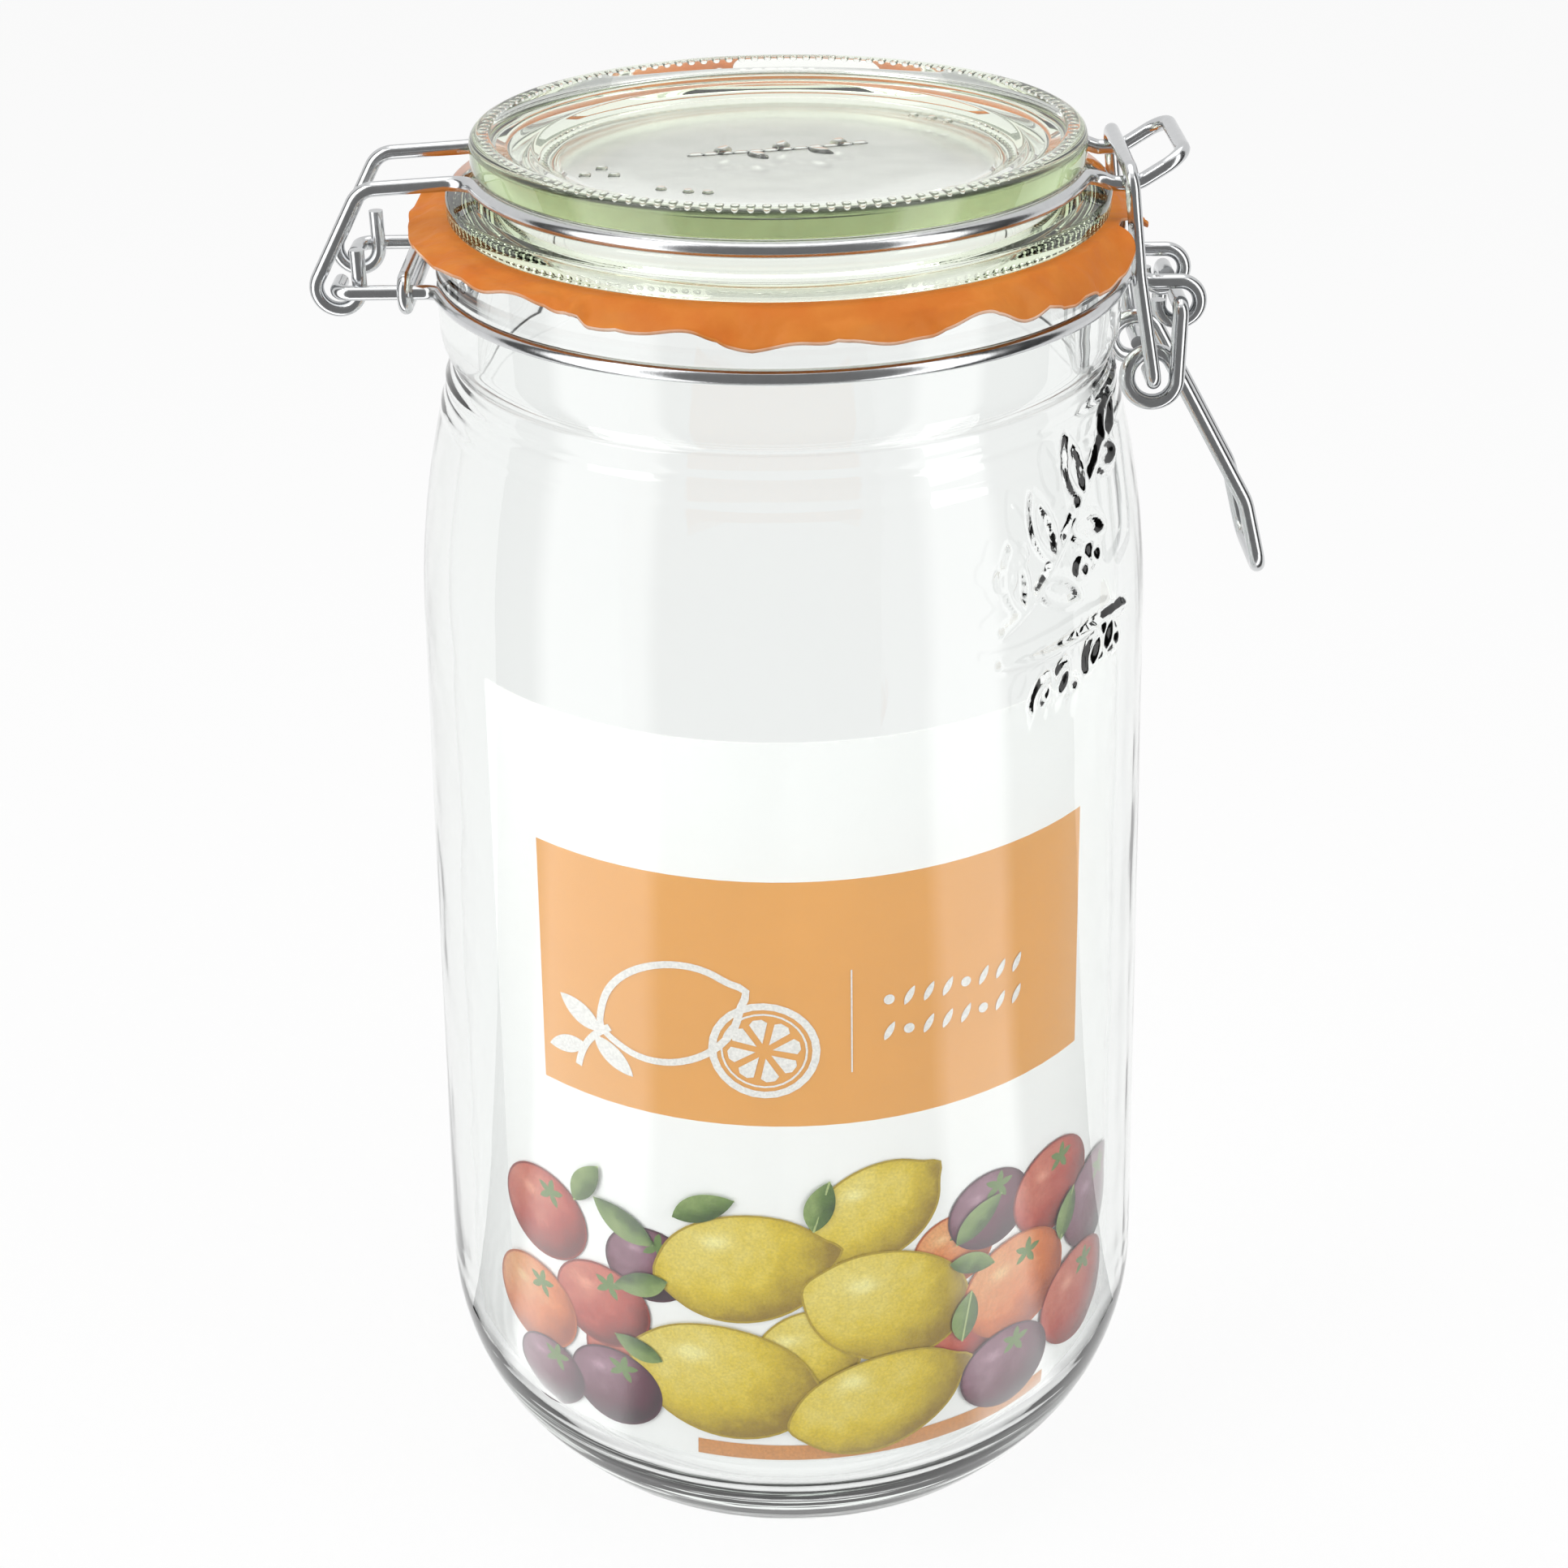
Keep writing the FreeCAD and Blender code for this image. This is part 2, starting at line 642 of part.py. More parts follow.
def make_seal():
    """The sealing ring: flat between lid and rim, with a thin crumpled skirt round the collar."""
    collar = size("collar_radius")
    rim = size("rim_height")
    base = rim + size("seal_gap")
    thick, edge = size("seal_thickness"), size("seal_edge")
    inner = number(PLUG) + size("side_gap")
    flat = collar - 0.55
    leg_reach = collar + size("wire_radius")
    leg_angle = math.degrees(math.asin(size("clasp_half_width") / leg_reach))
    half_gap = math.degrees((size("wire_radius") + size("seal_leg_gap")) / leg_reach)
    shoulder = collar + size("side_gap") + edge
    count = 120
    rings = []
    for i in range(count):
        angle = 2 * math.pi * i / count
        free = clear_of_clasp(angle, leg_angle, half_gap, 4)
        wave = edge_wave(angle)
        front = 0.5 - 0.5 * math.sin(angle)
        reach = flat + (shoulder - flat + size("seal_flare") + 0.9 * wave - 0.6) * free
        fall = (size("seal_fall") * front + 0.9 * wave + 0.3) * free
        bend = flat + (shoulder - flat) * free
        drop = max(fall, 0) * 0.3
        section = [
            (inner, base, base + thick),
            (flat, base, base + thick),
            (bend + 0.05, base - drop, base - drop + edge),
            (reach + 0.12, base - fall, base - fall + edge),
        ]
        spin = (math.cos(angle), math.sin(angle))
        low = [Vector(r * spin[0], r * spin[1], z) for r, z, _ in section]
        high = [Vector(r * spin[0], r * spin[1], z) for r, _, z in section]
        rings.append(low + high[::-1])
    faces = []
    for i, here in enumerate(rings):
        there = rings[(i + 1) % count]
        for j in range(len(here)):
            k = (j + 1) % len(here)
            for three in ((here[j], there[j], there[k]), (here[j], there[k], here[k])):
                faces.append(Part.Face(Part.makePolygon([*three, three[0]])))
    solid = Part.Solid(Part.Shell(faces))
    if solid.Volume < 0:
        solid = Part.Solid(Part.Shell(faces).reversed())
    feature = doc.addObject("Part::Feature", "seal")
    feature.Label = "seal"
    feature.Shape = solid
    feature.Placement = FreeCAD.Placement()
    return feature


# ------------------------------------------------------------------------- build

parts = [
    make_jar_glass(),
    make_lid_glass(),
    make_seal(),
    make_neck_wire("neck_wire_near", -1),
    make_neck_wire("neck_wire_far", 1),
    make_tie_ring(),
    make_lid_wire(),
    make_lever(),
    make_clasp(),
    make_paper_insert(),
]
doc.recompute()

for item in doc.Objects:
    faults = [state for state in item.State if state in ("Invalid", "Error")]
    if faults:
        raise RuntimeError(f"{item.Label} is {faults}")
for item in parts:
    shape = item.Shape
    if shape.isNull() or not shape.isValid() or len(shape.Solids) != 1:
        raise RuntimeError(f"{item.Label} isn't one valid solid")

os.makedirs("parts", exist_ok=True)
for item in parts:
    item.Shape.exportStep(f"parts/{item.Label}.step")
    box = item.Shape.BoundBox
    print(
        f"{item.Label:16} {item.Shape.Volume:10.1f} mm3  x {box.XMin:.2f} {box.XMax:.2f}"
        f"  y {box.YMin:.2f} {box.YMax:.2f}  z {box.ZMin:.2f} {box.ZMax:.2f}"
    )
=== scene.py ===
"""A clip-top preserving jar: pressed glass, wire, an orange seal and a printed insert."""

import math

import bmesh
import bpy
from mathutils import Matrix, Vector, noise
from mathutils.geometry import delaunay_2d_cdt


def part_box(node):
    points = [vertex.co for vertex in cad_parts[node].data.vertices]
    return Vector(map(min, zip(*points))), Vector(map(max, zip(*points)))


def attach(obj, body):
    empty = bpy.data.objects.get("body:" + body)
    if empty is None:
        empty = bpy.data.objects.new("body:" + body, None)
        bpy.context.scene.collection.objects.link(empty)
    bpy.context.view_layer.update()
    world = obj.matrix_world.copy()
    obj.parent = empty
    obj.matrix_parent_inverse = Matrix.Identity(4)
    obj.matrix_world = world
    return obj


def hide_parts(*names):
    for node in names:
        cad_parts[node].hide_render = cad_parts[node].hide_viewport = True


bl_info = {
    "name": "Clip-Top Jar",
    "version": (1, 0, 0),
    "blender": (4, 5, 0),
    "location": "View3D > Sidebar > Jar",
    "description": "Dresses a clip-top preserving jar in glass, wire, rubber and printed paper",
    "category": "Add Mesh",
}

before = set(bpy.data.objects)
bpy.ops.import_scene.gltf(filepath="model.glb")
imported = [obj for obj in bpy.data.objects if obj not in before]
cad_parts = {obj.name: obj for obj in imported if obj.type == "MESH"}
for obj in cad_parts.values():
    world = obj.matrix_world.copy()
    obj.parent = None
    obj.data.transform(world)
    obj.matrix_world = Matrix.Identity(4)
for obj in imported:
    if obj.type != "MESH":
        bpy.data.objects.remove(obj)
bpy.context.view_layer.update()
MM = 0.001
LID_LOW, LID_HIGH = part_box("lid_glass")
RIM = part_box("jar_glass")[1][2]


# ---------------------------------------------------------------- sizes and colours

# The body, in millimetres: radii, heights above the foot, and depths below the rim.
FOOT, BELLY, SHOULDER, WAIST, COLLAR = 28.5, 56.2, 52.2, 45.3, 46.8
BELLY_HEIGHT, SHOULDER_DEPTH, WAIST_DEPTH, BEAD_DEPTH = 34.6, 56.6, 18.4, 13.6
GROOVE_DEPTH, GROOVE, GROOVE_EDGE = 7.6, 1.05, 1.15
FLOOR, BORE, INNER_SHOULDER, INNER_BELLY = 7, 41.5, 48.6, 52.6
# Where the pressed twig is, and the part of the wall round it that has finer faces, in degrees.
SPRIG_AZIMUTH, SPRIG_HEIGHT, FINE_FROM, FINE_TO = 47, 171, 24, 74
SEAMS = (-27, 153)
# The printed band: its ends in degrees from the front, and its edges in metres above the floor.
BAND_ENDS, BAND_EDGES = (-42.7, 53.4), (0.089, 0.128)
# The seal is flat between these radii and hangs loose beyond them, in millimetres.
SEAL_BORE, SEAL_FLAT, SEAL_THICKNESS = 40.6, 45.9, 0.72
LID_PLUG = 2.6
PAPER_ARC_RADIUS = 51.0


def length(name, text, default):
    return bpy.props.FloatProperty(
        name=name, description=text, default=default, unit="LENGTH", precision=5
    )


def colour(name, text, default):
    return bpy.props.FloatVectorProperty(
        name=name, description=text, default=default, size=4, subtype="COLOR", min=0, max=1
    )


class GlassSettings(bpy.types.PropertyGroup):
    """Sizes and colours of the two glass pieces."""

    relief: length("Relief", "How far the pressed ornament stands out", 0.55 * MM)
    knurl_radius: length("Knurl radius", "From the axis to the beads on the lid's crest", 39.3 * MM)
    knurl_pitch: length("Knurl pitch", "Spacing of the beads", 1.9 * MM)
    bead: length("Bead", "Radius of one bead", 0.62 * MM)
    tint: colour("Tint", "Colour of thick glass", (0.86, 0.97, 0.88, 1))
    lid_clear: colour("Lid clear", "Colour of the lid where it is thin", (0.99, 0.99, 0.985, 1))
    lid_tint: colour("Lid tint", "Colour of the thick glass of the lid", (0.88, 0.96, 0.76, 1))
    clear: colour("Clear", "Colour of thin glass", (0.965, 0.972, 0.968, 1))


class ClosureSettings(bpy.types.PropertyGroup):
    """Finish of the wire and the sealing ring."""

    steel: colour("Steel", "Plated wire", (0.66, 0.67, 0.68, 1))
    rubber: colour("Rubber", "Sealing ring", (0.60, 0.15, 0.006, 1))
    # Paler rubber, mixed in at random over the whole seal and used as the colour of its loose edge.
    rubber_pale: colour("Paler rubber", "Mottling over the seal and colour of its loose edge", (0.66, 0.21, 0.02, 1))


class PrintSettings(bpy.types.PropertyGroup):
    """Colours of the printed paper."""

    paper: colour("Paper", "Unprinted paper", (0.96, 0.96, 0.96, 1))
    band: colour("Band", "Wide band across the paper", (0.84, 0.39, 0.085, 1))


class StageSettings(bpy.types.PropertyGroup):
    """The camera's lens and where it stands."""

    lens: bpy.props.FloatProperty(
        name="Lens", description="Focal length", default=57.89, unit="CAMERA"
    )
    distance: length("Distance", "From the jar's axis to the camera", 0.3375)
    height: length("Height", "Camera above the floor", 0.3002)


# ---------------------------------------------------------------- materials


class Nodes:
    """A small helper that adds and joins the nodes of a material or of the world."""

    def __init__(self, name, world=None):
        self.material = world or bpy.data.materials.new(name)
        self.material.use_nodes = True
        self.tree = self.material.node_tree
        self.tree.nodes.clear()
        self.output = self.add("ShaderNodeOutputWorld" if world else "ShaderNodeOutputMaterial")

    def add(self, kind, **settings):
        node = self.tree.nodes.new(kind)
        for key, value in settings.items():
            setattr(node, key, value)
        return node

    def shader(self, kind, **values):
        """A shader node whose sockets are named in values, with _ for each space."""
        node = self.add(f"ShaderNode{kind}")
        for socket, value in values.items():
            self.put(node, socket.replace("_", " "), value)
        return node

    def put(self, node, socket, value):
        target = node.inputs[socket]
        if isinstance(value, bpy.types.NodeSocket):
            self.tree.links.new(value, target)
        else:
            target.default_value = value

    def math(self, operation, a, b=None):
        node = self.add("ShaderNodeMath", operation=operation)
        self.put(node, 0, a)
        if b is not None:
            self.put(node, 1, b)
        return node.outputs[0]

    def mix(self, factor, a, b):
        node = self.add("ShaderNodeMix", data_type="RGBA")
        self.put(node, 0, factor)
        self.put(node, 6, a)
        self.put(node, 7, b)
        return node.outputs[2]

    def place(self):
        return self.add("ShaderNodeTexCoord").outputs["Object"]

    def ramp(self, value, *stops):
        node = self.add("ShaderNodeValToRGB")
        self.put(node, "Fac", value)
        ramp = node.color_ramp
        while len(ramp.elements) < len(stops):
            ramp.elements.new(0.5)
        for element, (position, shade) in zip(ramp.elements, stops):
            element.position = position
            element.color = shade if len(shade) == 4 else (*shade, 1)
        return node.outputs[0]

    def noise(self, scale, detail=3, stretch=None):
        node = self.add("ShaderNodeTexNoise")
        where = self.place()
        if stretch:
            mapping = self.add("ShaderNodeMapping")
            self.put(mapping, "Vector", where)
            self.put(mapping, "Scale", stretch)
            where = mapping.outputs[0]
        self.put(node, "Vector", where)
        self.put(node, "Scale", scale)
        self.put(node, "Detail", detail)
        return node.outputs[0]

    def bump(self, height, strength, distance):
        node = self.add("ShaderNodeBump")
        self.put(node, "Height", height)
        self.put(node, "Strength", strength)
        self.put(node, "Distance", distance)
        return node.outputs[0]

    def surface(self, shader):
        self.put(self.output, "Surface", shader)
        return self.material


def pressed_glass(name, clear, tint, density, ripple, frosted=0.0):
    """Clear pressed glass with gentle ripples, misty within a radius; lamps shine through it."""
    n = Nodes(name)
    glass = n.shader(
        "BsdfPrincipled", Base_Color=clear, Transmission_Weight=1.0, IOR=1.5, Roughness=0.015
    )
    if frosted:
        where = n.add("ShaderNodeSeparateXYZ")
        n.put(where, 0, n.place())
        x, y, _ = where.outputs
        reach = n.math("ADD", n.math("MULTIPLY", x, x), n.math("MULTIPLY", y, y))
        inside = n.math("LESS_THAN", reach, frosted * frosted)
        n.put(glass, "Roughness", n.math("ADD", n.math("MULTIPLY", inside, 0.15), 0.015))
    n.put(glass, "Normal", n.bump(n.noise(60, 2, (1, 1, 0.5)), ripple, 0.0004))
    through = n.shader("BsdfTransparent", Color=(0.97, 0.98, 0.97, 1))
    path = n.add("ShaderNodeLightPath")
    mix = n.add("ShaderNodeMixShader")
    n.put(mix, 0, path.outputs["Is Shadow Ray"])
    n.put(mix, 1, glass.outputs[0])
    n.put(mix, 2, through.outputs[0])
    if density:
        volume = n.shader("VolumeAbsorption", Color=tint, Density=density)
        n.put(n.output, "Volume", volume.outputs[0])
    return n.surface(mix.outputs[0])


def plated_wire(steel):
    """Bright plated wire with fine drawing marks and slightly cloudy patches."""
    n = Nodes("plated wire")
    shade = n.mix(n.noise(900, 4), tuple(v * 0.86 for v in steel[:3]) + (1,), steel)
    rough = n.shader("MapRange", Value=n.noise(400, 3), To_Min=0.10, To_Max=0.24).outputs[0]
    marks = n.bump(n.noise(2500, 3), 0.12, 0.00005)
    finish = n.shader(
        "BsdfPrincipled", Base_Color=shade, Metallic=1.0, Roughness=rough, Normal=marks
    )
    return n.surface(finish.outputs[0])


def ring_rubber(rubber, pale):
    """Soft orange rubber mottled at random with a paler colour, with a dusty surface."""
    n = Nodes("sealing rubber")
    cloud = n.ramp(n.noise(140, 5), (0.35, (0, 0, 0)), (0.7, (1, 1, 1)))
    skin = n.shader("BsdfPrincipled", Base_Color=n.mix(cloud, rubber, pale), Roughness=0.6)
    n.put(skin, "Specular IOR Level", 0.3)
    n.put(skin, "Normal", n.bump(n.noise(150, 3), 0.8, 0.0012))
    return n.surface(skin.outputs[0])


def printed_paper(paper, band):
    """White paper with a plain band of colour across it."""
    n = Nodes("printed paper")
    where = n.add("ShaderNodeSeparateXYZ")
    n.put(where, 0, n.place())
    x, y, z = where.outputs
    azimuth = n.math("ARCTAN2", x, n.math("MULTIPLY", y, -1.0))
    inside = n.math("GREATER_THAN", azimuth, math.radians(BAND_ENDS[0]))
    inside = n.math("MULTIPLY", inside, n.math("LESS_THAN", azimuth, math.radians(BAND_ENDS[1])))
    inside = n.math("MULTIPLY", inside, n.math("GREATER_THAN", z, BAND_EDGES[0]))
    inside = n.math("MULTIPLY", inside, n.math("LESS_THAN", z, BAND_EDGES[1]))
    ink = n.mix(n.noise(70, 4), tuple(v * 0.9 for v in band[:3]) + (1,), band)
    sheet = n.shader("BsdfPrincipled", Base_Color=n.mix(inside, paper, ink), Roughness=0.6)
    n.put(sheet, "Normal", n.bump(n.noise(120, 2), 0.1, 0.0005))
    return n.surface(sheet.outputs[0])


def paint(node, material):
    """Give a CAD node's object its material."""
    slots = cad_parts[node].data.materials
    slots.clear()
    slots.append(material)


# ---------------------------------------------------------------- shapes


def arc(start, heading, finish, steps):
    """Points after start on the arc that leaves it along heading and ends at finish."""
    normal = Vector((-heading.y, heading.x)).normalized()
    span = finish - start
    reach = span.length_squared / (2 * span.dot(normal))
    centre = start + normal * reach
    first = math.atan2(start.y - centre.y, start.x - centre.x)
    sweep = math.atan2(finish.y - centre.y, finish.x - centre.x) - first
    if reach > 0 and sweep < 0:
        sweep += 2 * math.pi
    if reach < 0 and sweep > 0:
        sweep -= 2 * math.pi
    size = abs(reach)
    turns = [first + sweep * (i + 1) / steps for i in range(steps)]
    return [Vector((centre.x + size * math.cos(a), centre.y + size * math.sin(a))) for a in turns]


def straight(start, finish, steps):
    """Points after start on the line to finish."""
    return [start.lerp(finish, (i + 1) / steps) for i in range(steps)]


def bridge(mesh, low, high):
    """Faces between two closed rows of as many points."""
    for i in range(len(low)):
        j = (i + 1) % len(low)
        mesh.faces.new((low[i], low[j], high[j], high[i]))


def lathe(name, profile, angles, shift=None):
    """A solid of revolution from a profile in millimetres that starts and ends on the axis."""
    mesh = bmesh.new()
    rows = []
    for k, point in enumerate(profile):
        if point.x < 1e-6:
            rows.append([mesh.verts.new((0, 0, point.y * MM))])
            continue
        row = []
        for angle in angles:
            radius, height = point.x, point.y
            if shift is not None:
                radius, height = shift(k, radius, height, angle)
            row.append(
                mesh.verts.new(
                    (radius * MM * math.cos(angle), radius * MM * math.sin(angle), height * MM)
                )
            )
        rows.append(row)
    count = len(angles)
    for low, high in zip(rows, rows[1:]):
        if len(low) > 1 and len(high) > 1:
            bridge(mesh, low, high)
            continue
        for i in range(count):
            j = (i + 1) % count
            if len(low) == 1:
                mesh.faces.new((low[0], high[j], high[i]))
            else:
                mesh.faces.new((low[i], low[j], high[0]))
    bmesh.ops.recalc_face_normals(mesh, faces=mesh.faces)
    return finished(name, mesh)


def finished(name, mesh, smooth=True):
    """A new object from a bmesh."""
    data = bpy.data.meshes.new(name)
    mesh.to_mesh(data)
    mesh.free()
    for face in data.polygons:
        face.use_smooth = smooth
    piece = bpy.data.objects.new(name, data)
    bpy.context.scene.collection.objects.link(piece)
    return piece


def rounding(centre, radius, first, last, steps):
    """Points of a small rounded edge, in degrees."""
    turns = [math.radians(first + (last - first) * i / steps) for i in range(steps + 1)]
    x, y = centre
    return [Vector((x + radius * math.cos(a), y + radius * math.sin(a))) for a in turns]


def jar_profile():
    """The body's outline from the middle of the foot, round the outside, and down inside."""
    rim = RIM / MM
    foot_in, foot_out = Vector((23, 0)), Vector((FOOT, 0))
    belly, shoulder = Vector((BELLY, BELLY_HEIGHT)), Vector((SHOULDER, rim - SHOULDER_DEPTH))
    waist, bead = Vector((WAIST, rim - WAIST_DEPTH)), Vector((COLLAR, rim - BEAD_DEPTH))
    wall = (shoulder - belly).normalized()
    line = [Vector((0, 3)), Vector((12, 1.6)), foot_in]
    line += [Vector((24, 0)), Vector((27.5, 0)), foot_out]
    heel = arc(belly, -wall, foot_out, 40)
    line += heel[-2::-1] + [belly]
    line += straight(belly, shoulder, 60)
    line += arc(shoulder, wall, waist, 80)
    line += arc(bead, Vector((0, -1)), waist, 8)[-2::-1] + [bead]
    groove = rim - GROOVE_DEPTH
    line.append(Vector((COLLAR, groove - GROOVE_EDGE)))
    line += rounding((COLLAR, groove), GROOVE, 270, 90, 10)
    line.append(Vector((COLLAR, groove + GROOVE_EDGE)))
    line.append(Vector((COLLAR, rim - 1.6)))
    line += rounding((45.4, rim - 1.4), 1.4, 0, 90, 8)
    line += rounding((42.4, rim - 0.9), 0.9, 90, 180, 6)
    line += straight(Vector((BORE, rim - 1)), Vector((BORE, rim - WAIST_DEPTH)), 6)
    inner_shoulder = Vector((INNER_SHOULDER, rim - SHOULDER_DEPTH))
    inner_belly = Vector((INNER_BELLY, BELLY_HEIGHT))
    line += arc(inner_shoulder, (inner_shoulder - inner_belly).normalized(), line[-1], 30)[-2::-1]
    line += [inner_shoulder] + straight(inner_shoulder, inner_belly, 12)
    line += arc(inner_belly, -wall, Vector((25.9, FLOOR)), 24)
    line += [Vector((radius, FLOOR)) for radius in (23, 12, 0)]
    return line


def lid_profile():
    """The lid's outline from the middle of its underside, round the outside, to its middle."""
    low = LID_LOW[2] / MM + LID_PLUG

    def points(*pairs):
        return [Vector((radius, low + height)) for radius, height in pairs]

    line = points((0, 2.9), (20, 2.9), (33.5, 2.9), (34.1, 2.7), (34.5, 1.9))
    line += [Vector((radius, low - 2.6)) for radius in (36.1, 36.5, 39.3, 39.6)]
    line += [Vector((40.1, low - 0.1)), Vector((40.3, low))]
    line += rounding((44.0, low + 0.8), 0.8, -90, 0, 6)
    line += rounding((44.0, low + 2.4), 0.8, 0, 78, 6)
    line += points((40.6, 4.3), (40.3, 4.5), (40.3, 6.5))
    line += rounding((40.8, low + 7.05), 0.4, -90, 0, 4)
    line += rounding((40.0, low + 9.4), 1.2, 0, 90, 8)
    line += points((38.6, 10.6), (38.2, 10.4), (36.4, 9.1), (36.0, 8.85), (35.5, 8.7), (33.6, 8.1))
    line += points((33.1, 8.1), (32.5, 8.0), (31.9, 7.5), (30.6, 7.15), (29.9, 6.95), (29.2, 6.9))
    line += points((20, 6.9), (0, 6.9))
    return line


def spread_angles(coarse, fine, first, last):
    """Azimuths all the way round, closer together between two of them, in degrees."""
    angles = []
    turn = first
    while turn < first + 360:
        angles.append(math.radians(turn))
        turn += fine if first <= turn < last else coarse
    return angles


def azimuth(angle):
    """Degrees from the front, positive towards the clasp, of an angle about the axis."""
    return math.degrees(math.remainder(angle + math.pi / 2, 2 * math.pi))


def bezier(start, first, second, finish, steps=16):
    """Points on a cubic curve, as pairs."""
    line = []
    for i in range(steps + 1):
        t = i / steps
        shares = ((1 - t) ** 3, 3 * t * (1 - t) ** 2, 3 * t * t * (1 - t), t**3)
        points = tuple(zip(shares, (start, first, second, finish)))
        line.append(tuple(sum(share * point[k] for share, point in points) for k in (0, 1)))
    return line


def leaf(root, heading, size, width, curl=0.0):
    """A pointed leaf's outline; heading is in degrees."""
    turn = math.radians(heading)
    along = (math.cos(turn), math.sin(turn))
    across = (-along[1], along[0])

    def at(reach, side):
        side += curl * reach * (1 - reach) * width * 2
        return (
            root[0] + along[0] * size * reach + across[0] * side,
            root[1] + along[1] * size * reach + across[1] * side,
        )

    up = bezier(at(0, 0), at(0.25, width), at(0.7, width * 0.9), at(1, 0), 12)
    down = bezier(at(1, 0), at(0.7, -width * 0.9), at(0.25, -width), at(0, 0), 12)
    return up + down[1:-1]


def turned(centre, x, y, turn):
    """A point of a shape that is turned about its centre, which moves with it."""
    return (
        centre[0] + x * math.cos(turn) - y * math.sin(turn),
        centre[1] + x * math.sin(turn) + y * math.cos(turn),
    )


def ring_of(centre, across, up, tilt=0.0, steps=28):
    """An oval's outline."""
    angles = [2 * math.pi * i / steps for i in range(steps)]
    turn = math.radians(tilt)
    return [turned(centre, across * math.cos(a), up * math.sin(a), turn) for a in angles]


def closed(line):
    return line + [line[0]]


def pressed_sprig():
    """The strokes of the pressed ornament: a leafy twig with berries, in millimetres."""
    stem = bezier((-15, -13), (-5, -9), (2, 2), (17, 10), 20)
    strokes = [stem]
    leaves = ((3, 95, 11), (6, -25, 11), (9, 105, 12), (12, -15, 11), (15, 100, 10), (18, -5, 9))
    for root, heading, size in leaves:
        strokes.append(closed(leaf(stem[root], heading, size, 3.0, 0.4)))
    strokes.append(closed(leaf(stem[-1], 32, 9, 2.6)))
    for x, y in ((-13.5, -4.5), (-10.5, -1.5), (4.5, -8.0), (8.5, -6.5)):
        strokes.append(closed(ring_of((x, y), 1.5, 1.5, steps=12)))
    strokes.append(bezier((-16, -18.5), (-6, -21), (8, -17), (19, -19.5), 14))
    for i in range(6):
        place = (-9 + 4.6 * i, -29 + 1.1 * i)
        dot = i % 3 == 2
        outline = ring_of(place, 1.4, 1.4, steps=12) if dot else leaf(place, 58, 6.5, 2.2)
        strokes.append(closed(outline))
    return [[(0.8 * x, 0.8 * y) for x, y in line] for line in strokes]


class Relief:
    """Raised rounded strokes on the wall: how high the glass stands at a place on it."""

    def __init__(self, strokes, middle, height, half_width, rise):
        self.middle, self.height = middle, height
        self.half_width, self.rise = half_width, rise
        self.runs = []
        for line in strokes:
            self.runs += list(zip(line, line[1:]))
        xs = [point[0] for run in self.runs for point in run]
        ys = [point[1] for run in self.runs for point in run]
        self.low = (min(xs) - half_width, min(ys) - half_width)
        self.high = (max(xs) + half_width, max(ys) + half_width)

    def __call__(self, radius, height, turn):
        x = math.radians(turn - self.middle) * radius
        y = height - self.height
        if not (self.low[0] < x < self.high[0] and self.low[1] < y < self.high[1]):
            return 0.0
        nearest = self.half_width**2
        for (ax, ay), (bx, by) in self.runs:
            dx, dy = bx - ax, by - ay
            span = dx * dx + dy * dy
            t = ((x - ax) * dx + (y - ay) * dy) / span if span else 0
            t = min(max(t, 0), 1)
            gap = (x - ax - t * dx) ** 2 + (y - ay - t * dy) ** 2
            nearest = min(nearest, gap)
        share = math.sqrt(nearest) / self.half_width
        return self.rise * (1 - share * share) ** 0.75


# ---------------------------------------------------------------- operators


class JAR_OT_body(bpy.types.Operator):
    """Make the pressed glass body"""

    bl_idname = "jar.body"
    bl_label = "Glass Body"

    def execute(self, context):
        s = context.scene.jar_glass
        sprig = Relief(pressed_sprig(), SPRIG_AZIMUTH, SPRIG_HEIGHT, 0.85, s.relief / MM)
        profile = jar_profile()
        top = max(range(len(profile)), key=lambda k: profile[k].y)

        def shift(k, radius, height, angle):
            if k > top or not 5 < height < 189:
                return radius, height
            turn = azimuth(angle)
            grow = sprig(radius, height, turn)
            grow += 0.35 * max(0, 1 - abs(height - 183.4) / 0.9)
            grow += 0.15 * max(0, 1 - abs(height - 179.6) / 0.8)
            if height < 27:
                fade = min(1, (27 - height) / 8, (height - 5) / 5)
                grow += 0.09 * max(0, fade) * math.sin(2 * math.pi * height / 3.4)
            for seam in SEAMS:
                away = abs((turn - seam + 180) % 360 - 180) * radius * math.pi / 180
                grow += 0.10 * max(0, 1 - away / 0.8)
            wave = noise.noise(Vector((turn * 0.035, height * 0.018, 3.1)))
            return radius + grow - 0.06 * abs(wave), height

        angles = spread_angles(2.0, 0.4, -90 + FINE_FROM, -90 + FINE_TO)
        body = lathe("glass_body", profile, angles, shift)
        body.data.materials.append(pressed_glass("body glass", s.clear, s.tint, 9.0, 0.25))
        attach(body, "jar")
        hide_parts("jar_glass")
        return {"FINISHED"}


